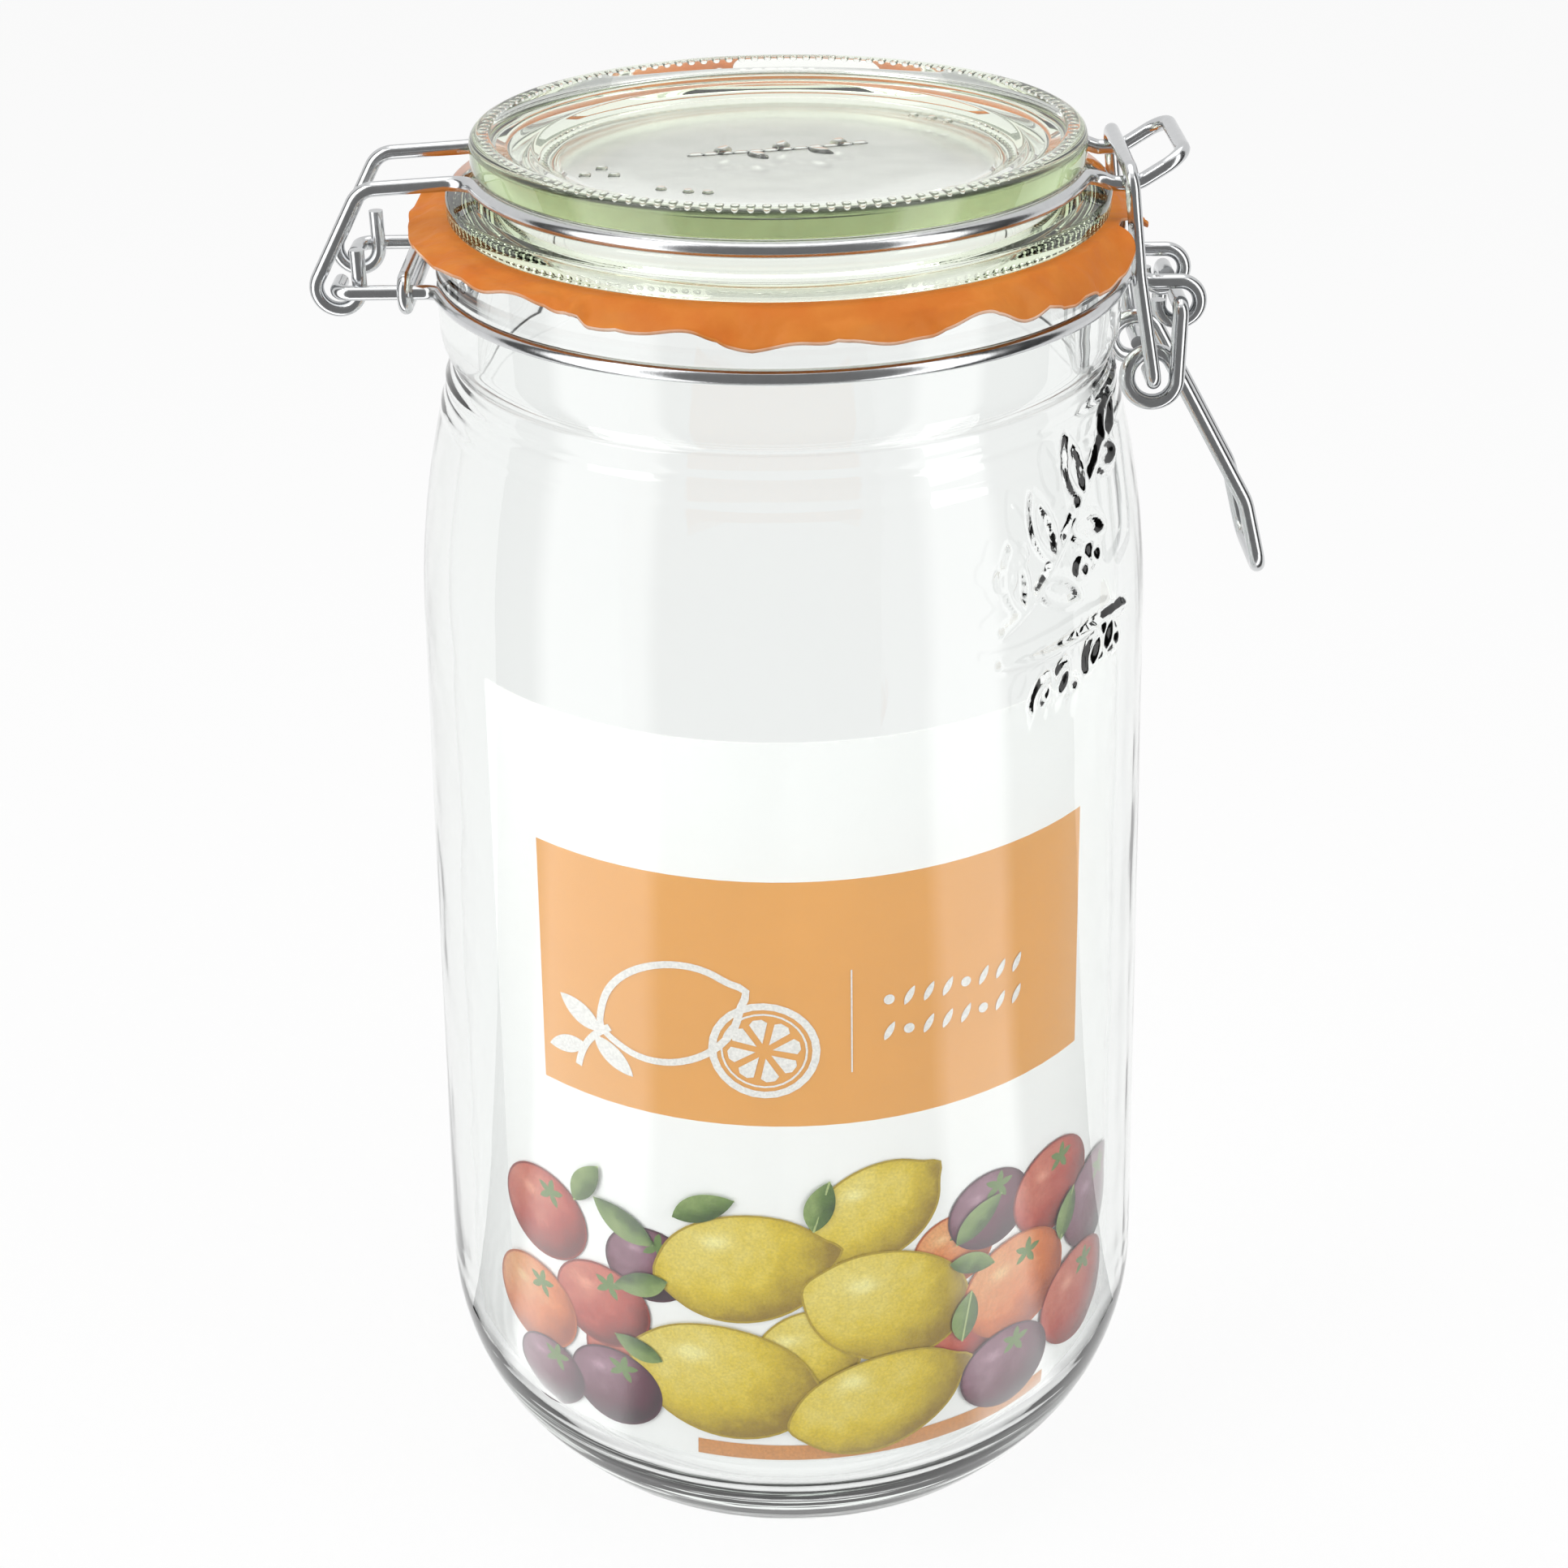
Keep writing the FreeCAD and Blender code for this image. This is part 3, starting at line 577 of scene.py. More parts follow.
class JAR_OT_lid(bpy.types.Operator):
    """Make the pressed glass lid"""

    bl_idname = "jar.lid"
    bl_label = "Glass Lid"

    def execute(self, context):
        s = context.scene.jar_glass
        angles = [2 * math.pi * i / 240 for i in range(240)]
        lid = lathe("glass_lid", lid_profile(), angles)
        glass = pressed_glass("lid glass", s.lid_clear, s.lid_tint, 42.0, 0.2, 29.3 * MM)
        lid.data.materials.append(glass)
        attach(lid, "lid")
        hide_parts("lid_glass")
        self.knurl(glass, s)
        self.marks(pressed_glass("lid marks", s.clear, s.tint, 0.0, 0.2))
        return {"FINISHED"}

    def marks(self, glass):
        """A pressed twig in the middle of the lid, with a few small squares and dots beside it."""
        level = LID_LOW[2] + 9.5 * MM
        outlines = []
        stem = bezier((-12, -2.6), (-4, -1.2), (4, 0.2), (12, 3.2), 12)
        for (ax, ay), (bx, by) in zip(stem, stem[1:]):
            outlines.append(ring_of(((ax + bx) / 2, (ay + by) / 2), 1.2, 0.4, 12, steps=12))
        leaves = ((2, 75, 4.5), (4, -50, 4.2), (6, 80, 5), (8, -40, 4.5), (10, 85, 4))
        for root, heading, reach in leaves:
            outlines.append(leaf(stem[root], heading, reach, 1.7))
        for x, y in ((-24, -9), (-22.2, -12.4), (-26, -12.2)):
            outlines.append([(x, y), (x + 1.6, y), (x + 1.6, y + 1.4), (x, y + 1.4)])
        dots = ((-15, -18.6), (-11.5, -20), (-9, -20.6), (19, 17.6), (21.5, 16), (23.6, 14))
        for x, y in dots:
            outlines.append(ring_of((x, y), 0.8, 0.8, steps=12))
        mesh = bmesh.new()
        for line in outlines:
            middle = sum((Vector(point) for point in line), Vector((0, 0))) / len(line)
            rows = []
            for share, rise in ((1.0, -0.15), (0.96, 0.05), (0.7, 0.28)):
                row = []
                for point in line:
                    x, y = middle + (Vector(point) - middle) * share
                    row.append(mesh.verts.new((x * MM, y * MM, level + rise * MM)))
                rows.append(row)
            for low, high in zip(rows, rows[1:]):
                bridge(mesh, low, high)
            mesh.faces.new(rows[-1])
            mesh.faces.new(rows[0][::-1])
        bmesh.ops.recalc_face_normals(mesh, faces=mesh.faces)
        marks = finished("lid_marks", mesh)
        marks.data.materials.append(glass)
        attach(marks, "lid")

    def knurl(self, glass, s):
        """Small beads of glass, repeated round the crest of the lid."""
        tree = bpy.data.node_groups.new("knurl", "GeometryNodeTree")
        tree.interface.new_socket("Geometry", in_out="OUTPUT", socket_type="NodeSocketGeometry")
        kinds = {"Radius": "Float", "Beads": "Int", "Bead Size": "Float"}
        for label, kind in (kinds | {"Height": "Float", "Glass": "Material"}).items():
            tree.interface.new_socket(label, in_out="INPUT", socket_type=f"NodeSocket{kind}")
        add, link = tree.nodes.new, tree.links.new
        inputs, output = add("NodeGroupInput"), add("NodeGroupOutput")
        ring, bead = add("GeometryNodeMeshCircle"), add("GeometryNodeMeshIcoSphere")
        spread, lift = add("GeometryNodeInstanceOnPoints"), add("GeometryNodeTransform")
        real, paint_it = add("GeometryNodeRealizeInstances"), add("GeometryNodeSetMaterial")
        rise = add("ShaderNodeCombineXYZ")
        bead.inputs["Subdivisions"].default_value = 2
        for source, target in (
            (inputs.outputs["Radius"], ring.inputs["Radius"]),
            (inputs.outputs["Beads"], ring.inputs["Vertices"]),
            (inputs.outputs["Bead Size"], bead.inputs["Radius"]),
            (inputs.outputs["Height"], rise.inputs["Z"]),
            (ring.outputs[0], spread.inputs["Points"]),
            (bead.outputs[0], spread.inputs["Instance"]),
            (spread.outputs[0], lift.inputs["Geometry"]),
            (rise.outputs[0], lift.inputs["Translation"]),
            (lift.outputs[0], real.inputs[0]),
            (real.outputs[0], paint_it.inputs["Geometry"]),
            (inputs.outputs["Glass"], paint_it.inputs["Material"]),
            (paint_it.outputs[0], output.inputs[0]),
        ):
            link(source, target)
        seat = bpy.data.objects.new("knurl_seat", bpy.data.meshes.new("knurl_seat"))
        bpy.context.scene.collection.objects.link(seat)
        grown = seat.modifiers.new("knurl", "NODES")
        grown.node_group = tree
        values = {
            "Radius": s.knurl_radius,
            "Beads": int(2 * math.pi * s.knurl_radius / s.knurl_pitch),
            "Bead Size": s.bead,
            "Height": LID_HIGH[2] - s.bead,
            "Glass": glass,
        }
        for item in tree.interface.items_tree:
            if item.in_out == "INPUT":
                grown[item.identifier] = values[item.name]
        seat.update_tag()
        whole = seat.evaluated_get(bpy.context.evaluated_depsgraph_get())
        data = bpy.data.meshes.new_from_object(whole)
        seat.modifiers.clear()
        seat.data = data
        seat.name = "glass_knurl"
        for face in data.polygons:
            face.use_smooth = True
        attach(seat, "lid")


class JAR_OT_wires(bpy.types.Operator):
    """Finish the wire closure"""

    bl_idname = "jar.wires"
    bl_label = "Wire Closure"

    def execute(self, context):
        bright = plated_wire(tuple(context.scene.jar_closure.steel))
        for node in ("neck_wire_near", "neck_wire_far", "tie_ring", "lid_wire", "lever", "clasp"):
            paint(node, bright)
        return {"FINISHED"}


def along_folds(turn, folds):
    """A smooth value at an azimuth, between the folds on either side of it."""
    for (a, low), (b, high) in zip(folds, folds[1:]):
        if a <= turn <= b:
            t = (turn - a) / (b - a)
            return low + (high - low) * (0.5 - 0.5 * math.cos(math.pi * t))
    return folds[0][1]


class JAR_OT_seal(bpy.types.Operator):
    """Make the sealing ring, with its flared, crumpled skirt"""

    bl_idname = "jar.seal"
    bl_label = "Sealing Ring"

    # azimuth from the front in degrees, and how far the loose edge hangs there in millimetres
    DROOP = (
        (-180, 2.0), (-162, 0.6), (-146, 2.2), (-128, 0.6), (-112, 1.4), (-92, 0.6), (-78, 1.2),
        (-66, 0.5), (-60, 0.9), (-54, 0.4), (-48, 1.3), (-40, 0.1), (-33, 1.4), (-31, 1.0),
        (-28.5, 3.1), (-22, 2.8), (-13, 2.0), (-5, 4.1), (4, 3.2), (9, 3.2), (16, 3.7), (21, 3.4),
        (31, 1.5), (39, 4.3), (46, 3.9), (50, 4.6), (54, 4.2), (60, 5.0), (66, 4.4), (73, 0.4),
        (78, 0.3), (84, 2.4), (91, 2.9), (97, 2.2), (102, 0.3), (108, 0.4), (116, 2.6), (128, 1.0),
        (140, 2.4), (156, 1.0), (168, 2.4), (180, 2.0),
    )  # fmt: skip
    # azimuth of each crease, how deep it is and how wide in degrees
    CREASES = (
        (-70, 0.5, 2.5), (-61, -0.4, 3), (-52, 0.4, 3), (-35, 0.5, 2.5), (-31, -0.7, 1.8),
        (-24, 0.3, 2), (-9, 0.35, 1.6), (-4, -0.3, 3), (8, 0.3, 1.5), (24, 0.3, 2), (33, -0.6, 5),
        (43, 0.8, 2.4), (47, -0.5, 2), (52, 0.5, 2), (57, -0.5, 2), (63, 0.4, 2), (88, 0.5, 3),
        (95, -0.4, 2), (118, 0.5, 3), (134, -0.5, 3), (150, 0.6, 3), (172, 0.5, 3), (-172, 0.5, 3),
        (-150, 0.5, 3), (-134, -0.4, 3), (-118, 0.5, 3), (-99, 0.4, 3), (-86, -0.5, 3),
    )  # fmt: skip

    def execute(self, context):
        s = context.scene.jar_closure
        mesh = bmesh.new()
        top = LID_LOW[2] / MM + LID_PLUG - 0.04
        count, steps = 720, 16
        upper, lower = [], []
        for i in range(count):
            turn = -180 + 360 * i / count
            angle = math.radians(turn) - math.pi / 2
            over, under = [], []
            for radius, height, thick in self.section(turn, top, steps):
                place = (radius * MM * math.cos(angle), radius * MM * math.sin(angle))
                over.append(mesh.verts.new((*place, height * MM)))
                under.append(mesh.verts.new((*place, (height - thick) * MM)))
            upper.append(over)
            lower.append(under)
        rim = []
        for i in range(count):
            j = (i + 1) % count
            for k in range(len(upper[0]) - 1):
                mesh.faces.new((upper[i][k], upper[i][k + 1], upper[j][k + 1], upper[j][k]))
                mesh.faces.new((lower[i][k], lower[j][k], lower[j][k + 1], lower[i][k + 1]))
            mesh.faces.new((upper[i][0], upper[j][0], lower[j][0], lower[i][0]))
            rim.append(mesh.faces.new((upper[i][-1], lower[i][-1], lower[j][-1], upper[j][-1])))
        # The loose edge's faces take the second material, a paler rubber mottled with pale peach.
        for face in rim:
            face.material_index = 1
        bmesh.ops.recalc_face_normals(mesh, faces=mesh.faces)
        ring = finished("sealing_ring", mesh)
        ring.data.materials.append(ring_rubber(tuple(s.rubber), tuple(s.rubber_pale)))
        ring.data.materials.append(ring_rubber(tuple(s.rubber_pale), (0.86, 0.62, 0.48, 1)))
        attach(ring, "lid")
        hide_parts("seal")
        return {"FINISHED"}

    def section(self, turn, top, steps):
        """The ring's upper line at an azimuth, from its bore out to its loose edge."""
        for radius in (SEAL_BORE, 43.5, SEAL_FLAT):
            yield radius, top, SEAL_THICKNESS
        droop = along_folds(turn, self.DROOP)
        leg = min(abs(turn - 75.3), abs(turn - 104.7))
        free = min(max((leg - 1.6) / 4.5, 0), 1)
        free = free * free * (3 - 2 * free)
        wander = 0.25 * math.sin(math.radians(turn * 5 + 40))
        reach = 46.3 + free * (3.5 + wander - 0.22 * droop)
        if turn < -30:
            reach += 0.5 * free
        for k in range(1, steps + 1):
            t = k / steps
            crease = 0.0
            for place, deep, wide in self.CREASES:
                away = abs(turn - place - 5 * (t - 1)) / wide
                if away < 1:
                    crease += deep * (1 - away) ** 1.5
            spin = math.radians(turn)
            crumple = noise.noise(Vector((9 * math.cos(spin), 9 * math.sin(spin), 2.2 * t)))
            lift = (1.3 * crease + 0.8 * crumple) * t**0.7 * free
            fall = droop * free * (0.25 * t + 0.75 * t**1.7) * (0.999 if t < 1 else 1)
            outward = 1 - 0.25 * (1 - t) ** 2
            radius = SEAL_FLAT + (reach - SEAL_FLAT) * t * outward + 0.25 * lift
            yield radius, top - fall + 0.6 * lift, SEAL_THICKNESS - 0.3 * min(1, 3 * t)


class Print:
    """Shapes of ink on the curved paper, gathered into one mesh with a colour at each corner."""

    def __init__(self):
        self.corners, self.faces, self.shades = [], [], []

    def place(self, across, up, layer):
        """A point this far along the paper from its front, and this high, in millimetres."""
        radius = paper_radius(up) + 0.06 + 0.006 * layer
        angle = across / PAPER_ARC_RADIUS - math.pi / 2
        return (radius * MM * math.cos(angle), radius * MM * math.sin(angle), up * MM)

    def fill(self, outline, shade, layer, grain=1.3):
        """A filled outline whose colour at each point comes from shade."""
        xs, ys = [x for x, _ in outline], [y for _, y in outline]
        points = [Vector(point) for point in outline]
        for i in range(1, int((max(xs) - min(xs)) / grain)):
            for j in range(1, int((max(ys) - min(ys)) / grain)):
                point = (min(xs) + i * grain + 0.3 * (j % 2), min(ys) + j * grain)
                if within(point, outline):
                    points.append(Vector(point))
        found = delaunay_2d_cdt(points, [], [list(range(len(outline)))], 1, 1e-5)
        start = len(self.corners)
        for point in found[0]:
            self.corners.append(self.place(point.x, point.y, layer))
            self.shades.append(shade(point.x, point.y))
        self.faces += [[start + i for i in face] for face in found[2]]

    def stroke(self, line, width, shade, layer):
        """A line of ink of an even width."""
        start = len(self.corners)
        for i, (x, y) in enumerate(line):
            before, after = line[max(i - 1, 0)], line[min(i + 1, len(line) - 1)]
            if line[0] == line[-1] and i in (0, len(line) - 1):
                before, after = line[-2], line[1]
            dx, dy = after[0] - before[0], after[1] - before[1]
            span = math.hypot(dx, dy) or 1
            for side in (-1, 1):
                px = x - side * dy / span * width / 2
                py = y + side * dx / span * width / 2
                self.corners.append(self.place(px, py, layer))
                self.shades.append(shade)
        for i in range(len(line) - 1):
            a = start + 2 * i
            self.faces.append([a, a + 2, a + 3, a + 1])

    def finish(self, name, material):
        data = bpy.data.meshes.new(name)
        data.from_pydata(self.corners, [], self.faces)
        ink = data.color_attributes.new("ink", "FLOAT_COLOR", "POINT")
        for i, shade in enumerate(self.shades):
            ink.data[i].color = (*shade[:3], 1)
        mesh = bmesh.new()
        mesh.from_mesh(data)
        for face in mesh.faces:
            middle = face.calc_center_median()
            if face.normal.dot(Vector((middle.x, middle.y, 0))) < 0:
                face.normal_flip()
        mesh.to_mesh(data)
        mesh.free()
        for face in data.polygons:
            face.use_smooth = True
        piece = bpy.data.objects.new(name, data)
        bpy.context.scene.collection.objects.link(piece)
        piece.data.materials.append(material)
        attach(piece, "jar")
        return piece


def paper_radius(height):
    """The outside radius of the paper, which leans with the wall, in millimetres."""
    return 51.85 - (height - 28.5) * 3.42 / 120


def within(point, outline):
    """True inside a closed outline."""
    x, y = point
    inside = False
    for (ax, ay), (bx, by) in zip(outline, outline[1:] + outline[:1]):
        if (ay > y) != (by > y) and x < ax + (y - ay) * (bx - ax) / (by - ay):
            inside = not inside
    return inside


def blend(a, b, share):
    share = min(max(share, 0), 1)
    return tuple(p + (q - p) * share for p, q in zip(a, b))


def rounded_fruit(centre, across, up, dark, middle, light, tilt=0.0):
    """How a round fruit is shaded: lit from the upper left, dark at its lower right edge."""
    turn = math.radians(tilt)

    def shade(x, y):
        dx, dy = x - centre[0], y - centre[1]
        px = (dx * math.cos(turn) + dy * math.sin(turn)) / across
        py = (dy * math.cos(turn) - dx * math.sin(turn)) / up
        depth = math.sqrt(max(0, 1 - min(1, px * px + py * py)))
        sx, sy = dx / max(across, up), dy / max(across, up)
        glow = 0.55 * depth - 0.42 * sx + 0.5 * sy
        tone = noise.noise(Vector((x * 0.35, y * 0.35, centre[0]))) * 0.22
        tone += noise.noise(Vector((x * 1.1, y * 1.1, centre[1]))) * 0.16
        colour_here = blend(dark, middle, glow * 1.6 + 0.35 + tone)
        spot = math.exp(-(((sx + 0.32) / 0.16) ** 2) - ((sy - 0.36) / 0.10) ** 2)
        return blend(colour_here, light, max(0, glow - 0.35 + tone) * 0.9 + 0.75 * spot)

    return shade


def lemon_outline(centre, across, up, tilt):
    """An oval with a small nib at one end."""
    turn = math.radians(tilt)
    line = []
    for i in range(48):
        a = 2 * math.pi * i / 48
        nib = 1 + 0.16 * math.exp(-((math.remainder(a, 2 * math.pi) / 0.22) ** 2))
        nib += 0.08 * math.exp(-((math.remainder(a - math.pi, 2 * math.pi) / 0.3) ** 2))
        line.append(turned(centre, across * math.cos(a) * nib, up * math.sin(a), turn))
    return line


def printed_ink(name):
    """Ink on paper: its colour comes from the mesh, with a fine printed grain."""
    n = Nodes(name)
    ink = n.add("ShaderNodeVertexColor", layer_name="ink")
    grain = n.ramp(n.noise(2600, 2), (0.3, (0.80, 0.80, 0.80)), (0.7, (1, 1, 1)))
    tone = n.add("ShaderNodeMix", data_type="RGBA", blend_type="MULTIPLY")
    n.put(tone, 0, 1.0)
    n.put(tone, 6, ink.outputs[0])
    n.put(tone, 7, grain)
    sheet = n.shader("BsdfPrincipled", Base_Color=tone.outputs[2], Roughness=0.5)
    return n.surface(sheet.outputs[0])


class JAR_OT_print(bpy.types.Operator):
    """Print the fruit and the line drawing on the paper"""

    bl_idname = "jar.print"
    bl_label = "Print"

    YELLOW = ((0.32, 0.20, 0.008), (0.78, 0.58, 0.025), (0.97, 0.88, 0.36))
    RED = ((0.16, 0.012, 0.008), (0.52, 0.05, 0.025), (0.90, 0.36, 0.24))
    ORANGE = ((0.36, 0.06, 0.008), (0.80, 0.20, 0.03), (0.97, 0.62, 0.30))
    PLUM = ((0.035, 0.006, 0.018), (0.15, 0.025, 0.06), (0.50, 0.28, 0.38))
    GREEN = ((0.03, 0.07, 0.015), (0.14, 0.25, 0.05), (0.45, 0.55, 0.22))
    # where each fruit's middle is, its half sizes, its tilt and its inks; yellow ones are lemons
    FRUIT = (
        (24, 63, 6.5, 6.2, 0, ORANGE), (-21, 62, 6.8, 6.4, 0, PLUM),
        (-25, 44, 6.8, 6.4, 0, RED), (25, 47, 6.8, 6.4, 0, RED),
        (2, 48, 9, 7.4, 60, YELLOW), (30, 68, 7.0, 6.6, 0, PLUM),
        (12, 73, 10, 8.0, 35, YELLOW), (42.5, 66, 8.2, 7.8, 0, RED),
        (-39.5, 64, 8.3, 7.8, 0, RED), (-7, 64, 12.5, 9.4, 14, YELLOW),
        (54, 57, 8.6, 8.2, 0, PLUM), (-29, 52, 8.0, 7.3, 0, RED),
        (14, 56, 12.5, 9.6, -22, YELLOW), (35, 52, 9.6, 9.0, 0, ORANGE),
        (-42, 46, 8.4, 7.9, 0, ORANGE), (-10, 43, 13.5, 10.2, -12, YELLOW),
        (49, 42, 9.0, 8.6, 0, RED), (-27, 37.5, 7.6, 6.8, 0, PLUM),
        (-39, 34.6, 6.6, 5.6, 0, PLUM), (12.5, 38.5, 12.8, 8.4, 16, YELLOW),
        (33, 37.6, 8.0, 7.0, 0, PLUM),
    )  # fmt: skip

    # where each leaf starts, its heading, its length and its width
    LEAVES = (
        (-20, 66, 150, 11, 3.4), (-18, 60, 200, 9, 3.0), (-17, 72, 25, 10, 3.2),
        (3, 71, 75, 9, 3.0), (24, 64, 40, 10, 3.0), (23, 61, -20, 8, 2.6), (-33, 69.5, 60, 9, 2.8),
        (44, 55, 70, 9, 3.0), (-19, 45, 160, 8, 2.6), (25, 46, 80, 9, 3.0),
    )  # fmt: skip

    def execute(self, context):
        fruit = Print()
        self.fruit(fruit)
        fruit.finish("printed_fruit", printed_ink("printed fruit"))
        drawing = Print()
        self.drawing(drawing)
        drawing.finish("printed_drawing", printed_ink("white line"))
        return {"FINISHED"}

    def fruit(self, page):
        strip = [(-14, 28.9), (41, 28.9), (41, 31.4), (-14, 31.4)]
        page.fill(self.dense(strip), lambda x, y: (0.72, 0.30, 0.08), 0)
        order = 1
        for x, y, across, up, tilt, inks in self.FRUIT:
            lemon = inks is self.YELLOW
            if lemon:
                outline = lemon_outline((x, y), across, up, tilt)
            else:
                outline = ring_of((x, y), across, up, tilt, 40)
            edge = blend(inks[0], inks[1], 0.35)
            page.fill(outline, rounded_fruit((x, y), across, up, *inks, tilt), order, 0.8)
            page.stroke(closed(outline), 0.35, edge, order + 1)
            if not lemon:
                self.stalk(page, x + 0.2 * across, y + 0.55 * up, order + 2)
            order += 3
        for x, y, heading, size, width in self.LEAVES:
            outline = leaf((x, y), heading, size, width, 0.3)
            page.fill(outline, self.leaf_shade(outline), order)
            page.stroke([outline[0], outline[12]], 0.3, self.GREEN[2], order + 1)
            order += 2

    def dense(self, corners):
        """A straight-sided outline with points along its sides."""
        line = []
        for a, b in zip(corners, corners[1:] + corners[:1]):
            steps = max(1, int(math.dist(a, b) / 1.3))
            for i in range(steps):
                line.append((a[0] + (b[0] - a[0]) * i / steps, a[1] + (b[1] - a[1]) * i / steps))
        return line

    def stalk(self, page, x, y, layer):
        for heading in (15, 80, 150, 215, 300):
            page.fill(leaf((x, y), heading, 2.6, 0.8), lambda *_: self.GREEN[1], layer, 1.0)

    def leaf_shade(self, outline):
        root, tip = outline[0], outline[12]

        def shade(x, y):
            side = (tip[0] - root[0]) * (y - root[1]) - (tip[1] - root[1]) * (x - root[0])
            tone = 0.5 + 0.35 * math.tanh(side * 0.12) + 0.3 * noise.noise(Vector((x, y, 0.5)))
            return blend(blend(*self.GREEN[:2], tone * 1.6), self.GREEN[2], tone - 0.45)

        return shade

    def drawing(self, page):
        white = (0.93, 0.92, 0.90)
        outline = lemon_outline((-17, 106), 10.5, 7.6, 24)
        page.stroke(closed(outline), 1.1, white, 1)
        page.stroke(bezier((-26, 101.6), (-30, 99), (-31, 96), (-31.5, 93.5)), 1.1, white, 1)
        for root, heading, size, width in (
            ((-27.5, 100.5), 150, 8, 2.4),
            ((-30.2, 97.5), 200, 7, 2.0),
            ((-28.6, 99.5), -40, 8, 2.2),
        ):
            page.fill(leaf(root, heading, size, width), lambda *_: white, 1, 1.0)
        slice_middle = (-3.5, 101.5)
        page.stroke(closed(ring_of(slice_middle, 7.2, 7.2)), 1.1, white, 1)
        page.stroke(closed(ring_of(slice_middle, 5.9, 5.9)), 0.3, white, 1)
        for k in range(8):
            turn = math.radians(45 * k + 10)
            wedge = [
                (slice_middle[0] + r * math.cos(turn + w), slice_middle[1] + r * math.sin(turn + w))
                for r, w in ((1.2, 0.0), (4.6, -0.28), (5.1, -0.12), (5.1, 0.12), (4.6, 0.28))
            ]
            page.fill(wedge, lambda *_: white, 1, 1.5)
        page.stroke([(8.6, 97.5 + 1.5 * i) for i in range(12)], 0.22, white, 1)
        for row, count in ((107.6, 8), (102.4, 8)):
            for i in range(count):
                x = 13.2 + 2.9 * i
                if (i + int(row)) % 4 == 3:
                    outline = ring_of((x + 0.7, row + 0.9), 0.8, 0.8, steps=12)
                else:
                    outline = leaf((x, row - 0.4), 62, 3.2, 0.75)
                page.fill(outline, lambda *_: white, 1, 1.0)


class JAR_OT_insert(bpy.types.Operator):
    """Make the printed paper insert"""

    bl_idname = "jar.insert"
    bl_label = "Paper Insert"

    def execute(self, context):
        s = context.scene.jar_print
        paint("paper_insert", printed_paper(tuple(s.paper), tuple(s.band)))
        return {"FINISHED"}


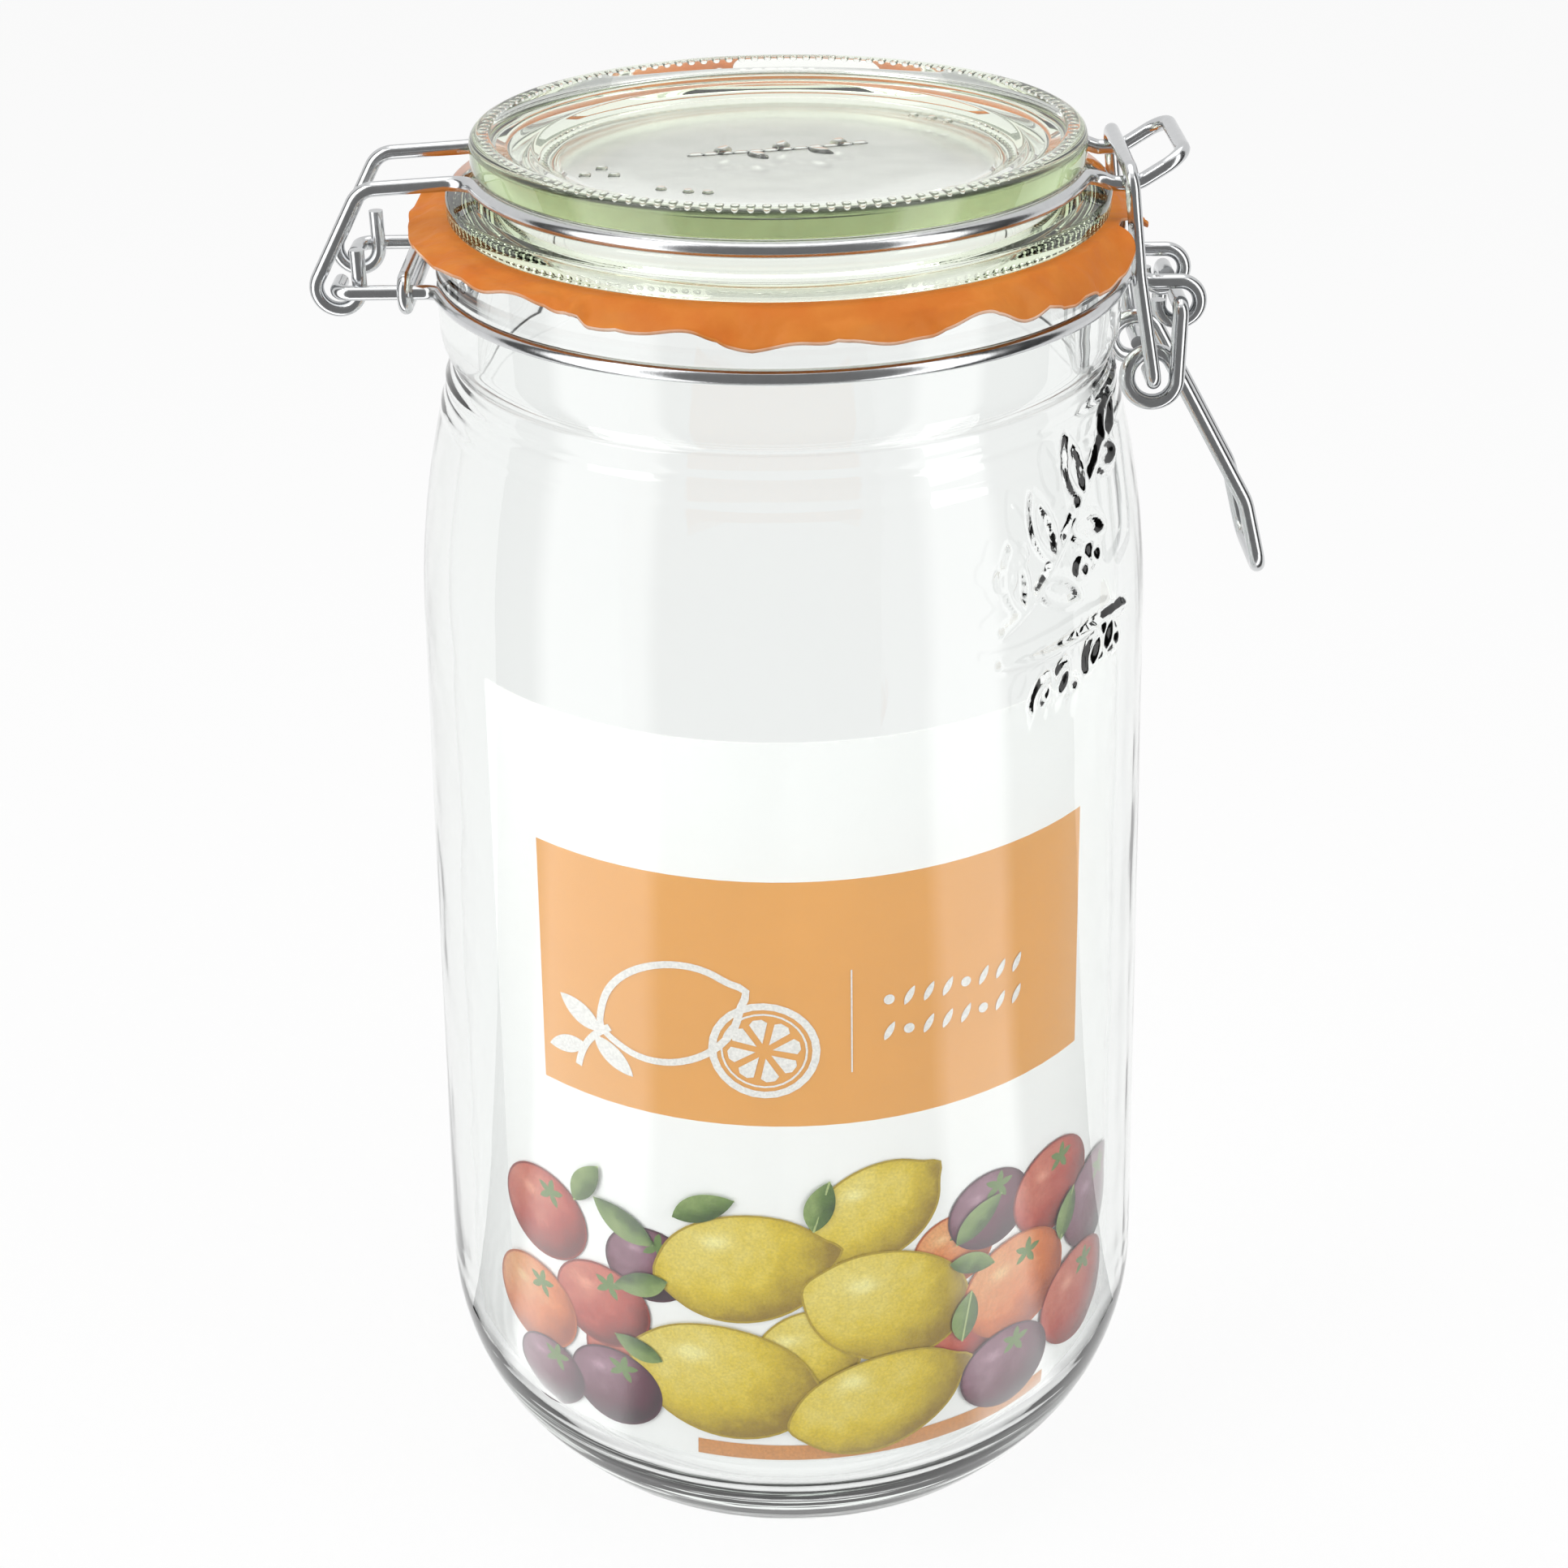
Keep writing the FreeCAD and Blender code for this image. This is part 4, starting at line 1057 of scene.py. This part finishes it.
class JAR_OT_stage(bpy.types.Operator):
    """Set the floor, the light and the camera"""

    bl_idname = "jar.stage"
    bl_label = "Stage"

    def execute(self, context):
        scene = context.scene
        scene.view_settings.view_transform = "Standard"
        s = scene.jar_stage
        self.camera(scene, s)
        self.floor()
        self.sky(scene)
        self.lamps(scene)
        self.room()
        return {"FINISHED"}

    def room(self):
        """A grey room in front of the jar with two bright windows, seen only in reflections."""
        n = Nodes("reflected room")
        where = n.add("ShaderNodeSeparateXYZ")
        n.put(where, 0, n.place())
        x, y, _ = where.outputs
        azimuth = n.math("ARCTAN2", x, n.math("MULTIPLY", y, -1.0))
        turn = n.math("ADD", n.math("MULTIPLY", azimuth, 0.5 / math.pi), 0.5)
        dark, dim, bright = (0.02,) * 3, (0.10,) * 3, (1.0,) * 3
        light = n.ramp(
            turn,
            *((0.25, dark), (0.28, dark), (0.30, bright), (0.385, bright), (0.40, dim)),
            *((0.61, dim), (0.625, bright), (0.675, bright), (0.69, dark)),
        )
        glow = n.shader("Emission", Color=light, Strength=2.2)
        mesh = bmesh.new()
        rows = []
        for i in range(39):
            turn = math.radians(-185 + 5 * i)
            spin = (math.cos(turn), math.sin(turn))
            corners = ((0.075, 0.001), (0.5, 0.001), (0.5, 0.9))
            rows.append([mesh.verts.new((r * spin[0], r * spin[1], z)) for r, z in corners])
        for a, b in zip(rows, rows[1:]):
            for k in range(2):
                mesh.faces.new((a[k], b[k], b[k + 1], a[k + 1]))
        room = finished("reflected_room", mesh, False)
        room.data.materials.append(n.surface(glow.outputs[0]))
        for ray in ("camera", "diffuse", "shadow", "transmission"):
            setattr(room, f"visible_{ray}", False)

    def camera(self, scene, s):
        data = bpy.data.cameras.new("camera")
        data.lens = s.lens
        data.sensor_width = 36
        data.clip_end = 20
        camera = bpy.data.objects.new("camera", data)
        scene.collection.objects.link(camera)
        pitch, roll, turn = 0.501, -0.013, -0.001
        level = math.cos(pitch)
        ahead = Vector((math.sin(turn) * level, math.cos(turn) * level, -math.sin(pitch)))
        right = Vector((math.cos(turn), -math.sin(turn), 0))
        up = right.cross(ahead)
        across = right * math.cos(roll) + up * math.sin(roll)
        upward = up * math.cos(roll) - right * math.sin(roll)
        axes = Matrix((across, upward, -ahead)).transposed().to_4x4()
        camera.matrix_world = Matrix.Translation((0, -s.distance, s.height)) @ axes
        scene.camera = camera

    def floor(self):
        bpy.ops.mesh.primitive_circle_add(vertices=64, radius=3, fill_type="NGON")
        floor = bpy.context.object
        floor.name = "floor"
        n = Nodes("white floor")
        path = n.add("ShaderNodeLightPath")
        seen = n.math("MAXIMUM", path.outputs["Is Camera Ray"], path.outputs["Is Glossy Ray"])
        seen = n.math("MAXIMUM", seen, path.outputs["Is Transmission Ray"])
        matt = n.shader("BsdfDiffuse", Color=(0.9, 0.9, 0.9, 1))
        glow = n.shader("Emission", Strength=1.0)
        mix = n.add("ShaderNodeMixShader")
        n.put(mix, 0, n.math("MULTIPLY", seen, 0.9))
        n.put(mix, 1, matt.outputs[0])
        n.put(mix, 2, glow.outputs[0])
        floor.data.materials.append(n.surface(mix.outputs[0]))

    def sky(self, scene):
        world = bpy.data.worlds.new("studio")
        scene.world = world
        n = Nodes("studio", world)
        path = n.add("ShaderNodeLightPath").outputs
        soft, white = n.add("ShaderNodeBackground"), n.add("ShaderNodeBackground")
        for glow, strength in ((soft, 0.5), (white, 1.0)):
            n.put(glow, "Color", (1, 1, 1, 1))
            n.put(glow, "Strength", strength)
        glossy = n.math("MULTIPLY", path["Is Glossy Ray"], 0.75)
        seen = n.math("MAXIMUM", path["Is Camera Ray"], glossy)
        seen = n.math("MAXIMUM", seen, path["Is Transmission Ray"])
        mix = n.add("ShaderNodeMixShader")
        for socket, value in enumerate((seen, soft.outputs[0], white.outputs[0])):
            n.put(mix, socket, value)
        n.surface(mix.outputs[0])

    def lamps(self, scene):
        for name, place, size, power in (
            ("key lamp", (-0.55, -0.35, 0.65), (0.35, 0.6), 2.6),
            ("fill lamp", (0.6, -0.35, 0.5), (0.3, 0.6), 1.7),
            ("top lamp", (0.0, 0.1, 0.9), (0.6, 0.6), 1.7),
        ):
            data = bpy.data.lights.new(name, "AREA")
            data.shape = "RECTANGLE"
            data.size, data.size_y = size
            data.energy = power
            lamp = bpy.data.objects.new(name, data)
            scene.collection.objects.link(lamp)
            aim = (Vector((0, 0, 0.1)) - Vector(place)).to_track_quat("-Z", "Y")
            lamp.matrix_world = Matrix.Translation(place) @ aim.to_matrix().to_4x4()


class JAR_PT_panel(bpy.types.Panel):
    """The jar's pieces and their sizes"""

    bl_idname = "JAR_PT_panel"
    bl_label = "Clip-Top Jar"
    bl_space_type = "VIEW_3D"
    bl_region_type = "UI"
    bl_category = "Jar"

    def draw(self, context):
        layout = self.layout
        for settings in ("jar_glass", "jar_closure", "jar_print", "jar_stage"):
            group = getattr(context.scene, settings)
            box = layout.box()
            for name in group.__annotations__:
                box.prop(group, name)
        for operator in STEPS:
            layout.operator(operator.bl_idname)


STEPS = (JAR_OT_body, JAR_OT_lid, JAR_OT_wires, JAR_OT_seal)
STEPS += (JAR_OT_insert, JAR_OT_print, JAR_OT_stage)
SETTINGS = {
    "jar_glass": GlassSettings,
    "jar_closure": ClosureSettings,
    "jar_print": PrintSettings,
    "jar_stage": StageSettings,
}


def register():
    for name, settings in SETTINGS.items():
        bpy.utils.register_class(settings)
        setattr(bpy.types.Scene, name, bpy.props.PointerProperty(type=settings))
    for item in (*STEPS, JAR_PT_panel):
        bpy.utils.register_class(item)


def unregister():
    for item in (JAR_PT_panel, *reversed(STEPS)):
        bpy.utils.unregister_class(item)
    for name, settings in SETTINGS.items():
        delattr(bpy.types.Scene, name)
        bpy.utils.unregister_class(settings)


def main():
    register()
    bpy.ops.jar.body()
    bpy.ops.jar.lid()
    bpy.ops.jar.wires()
    bpy.ops.jar.seal()
    bpy.ops.jar.insert()
    bpy.ops.jar.print()
    bpy.ops.jar.stage()


if __name__ == "__main__":
    main()
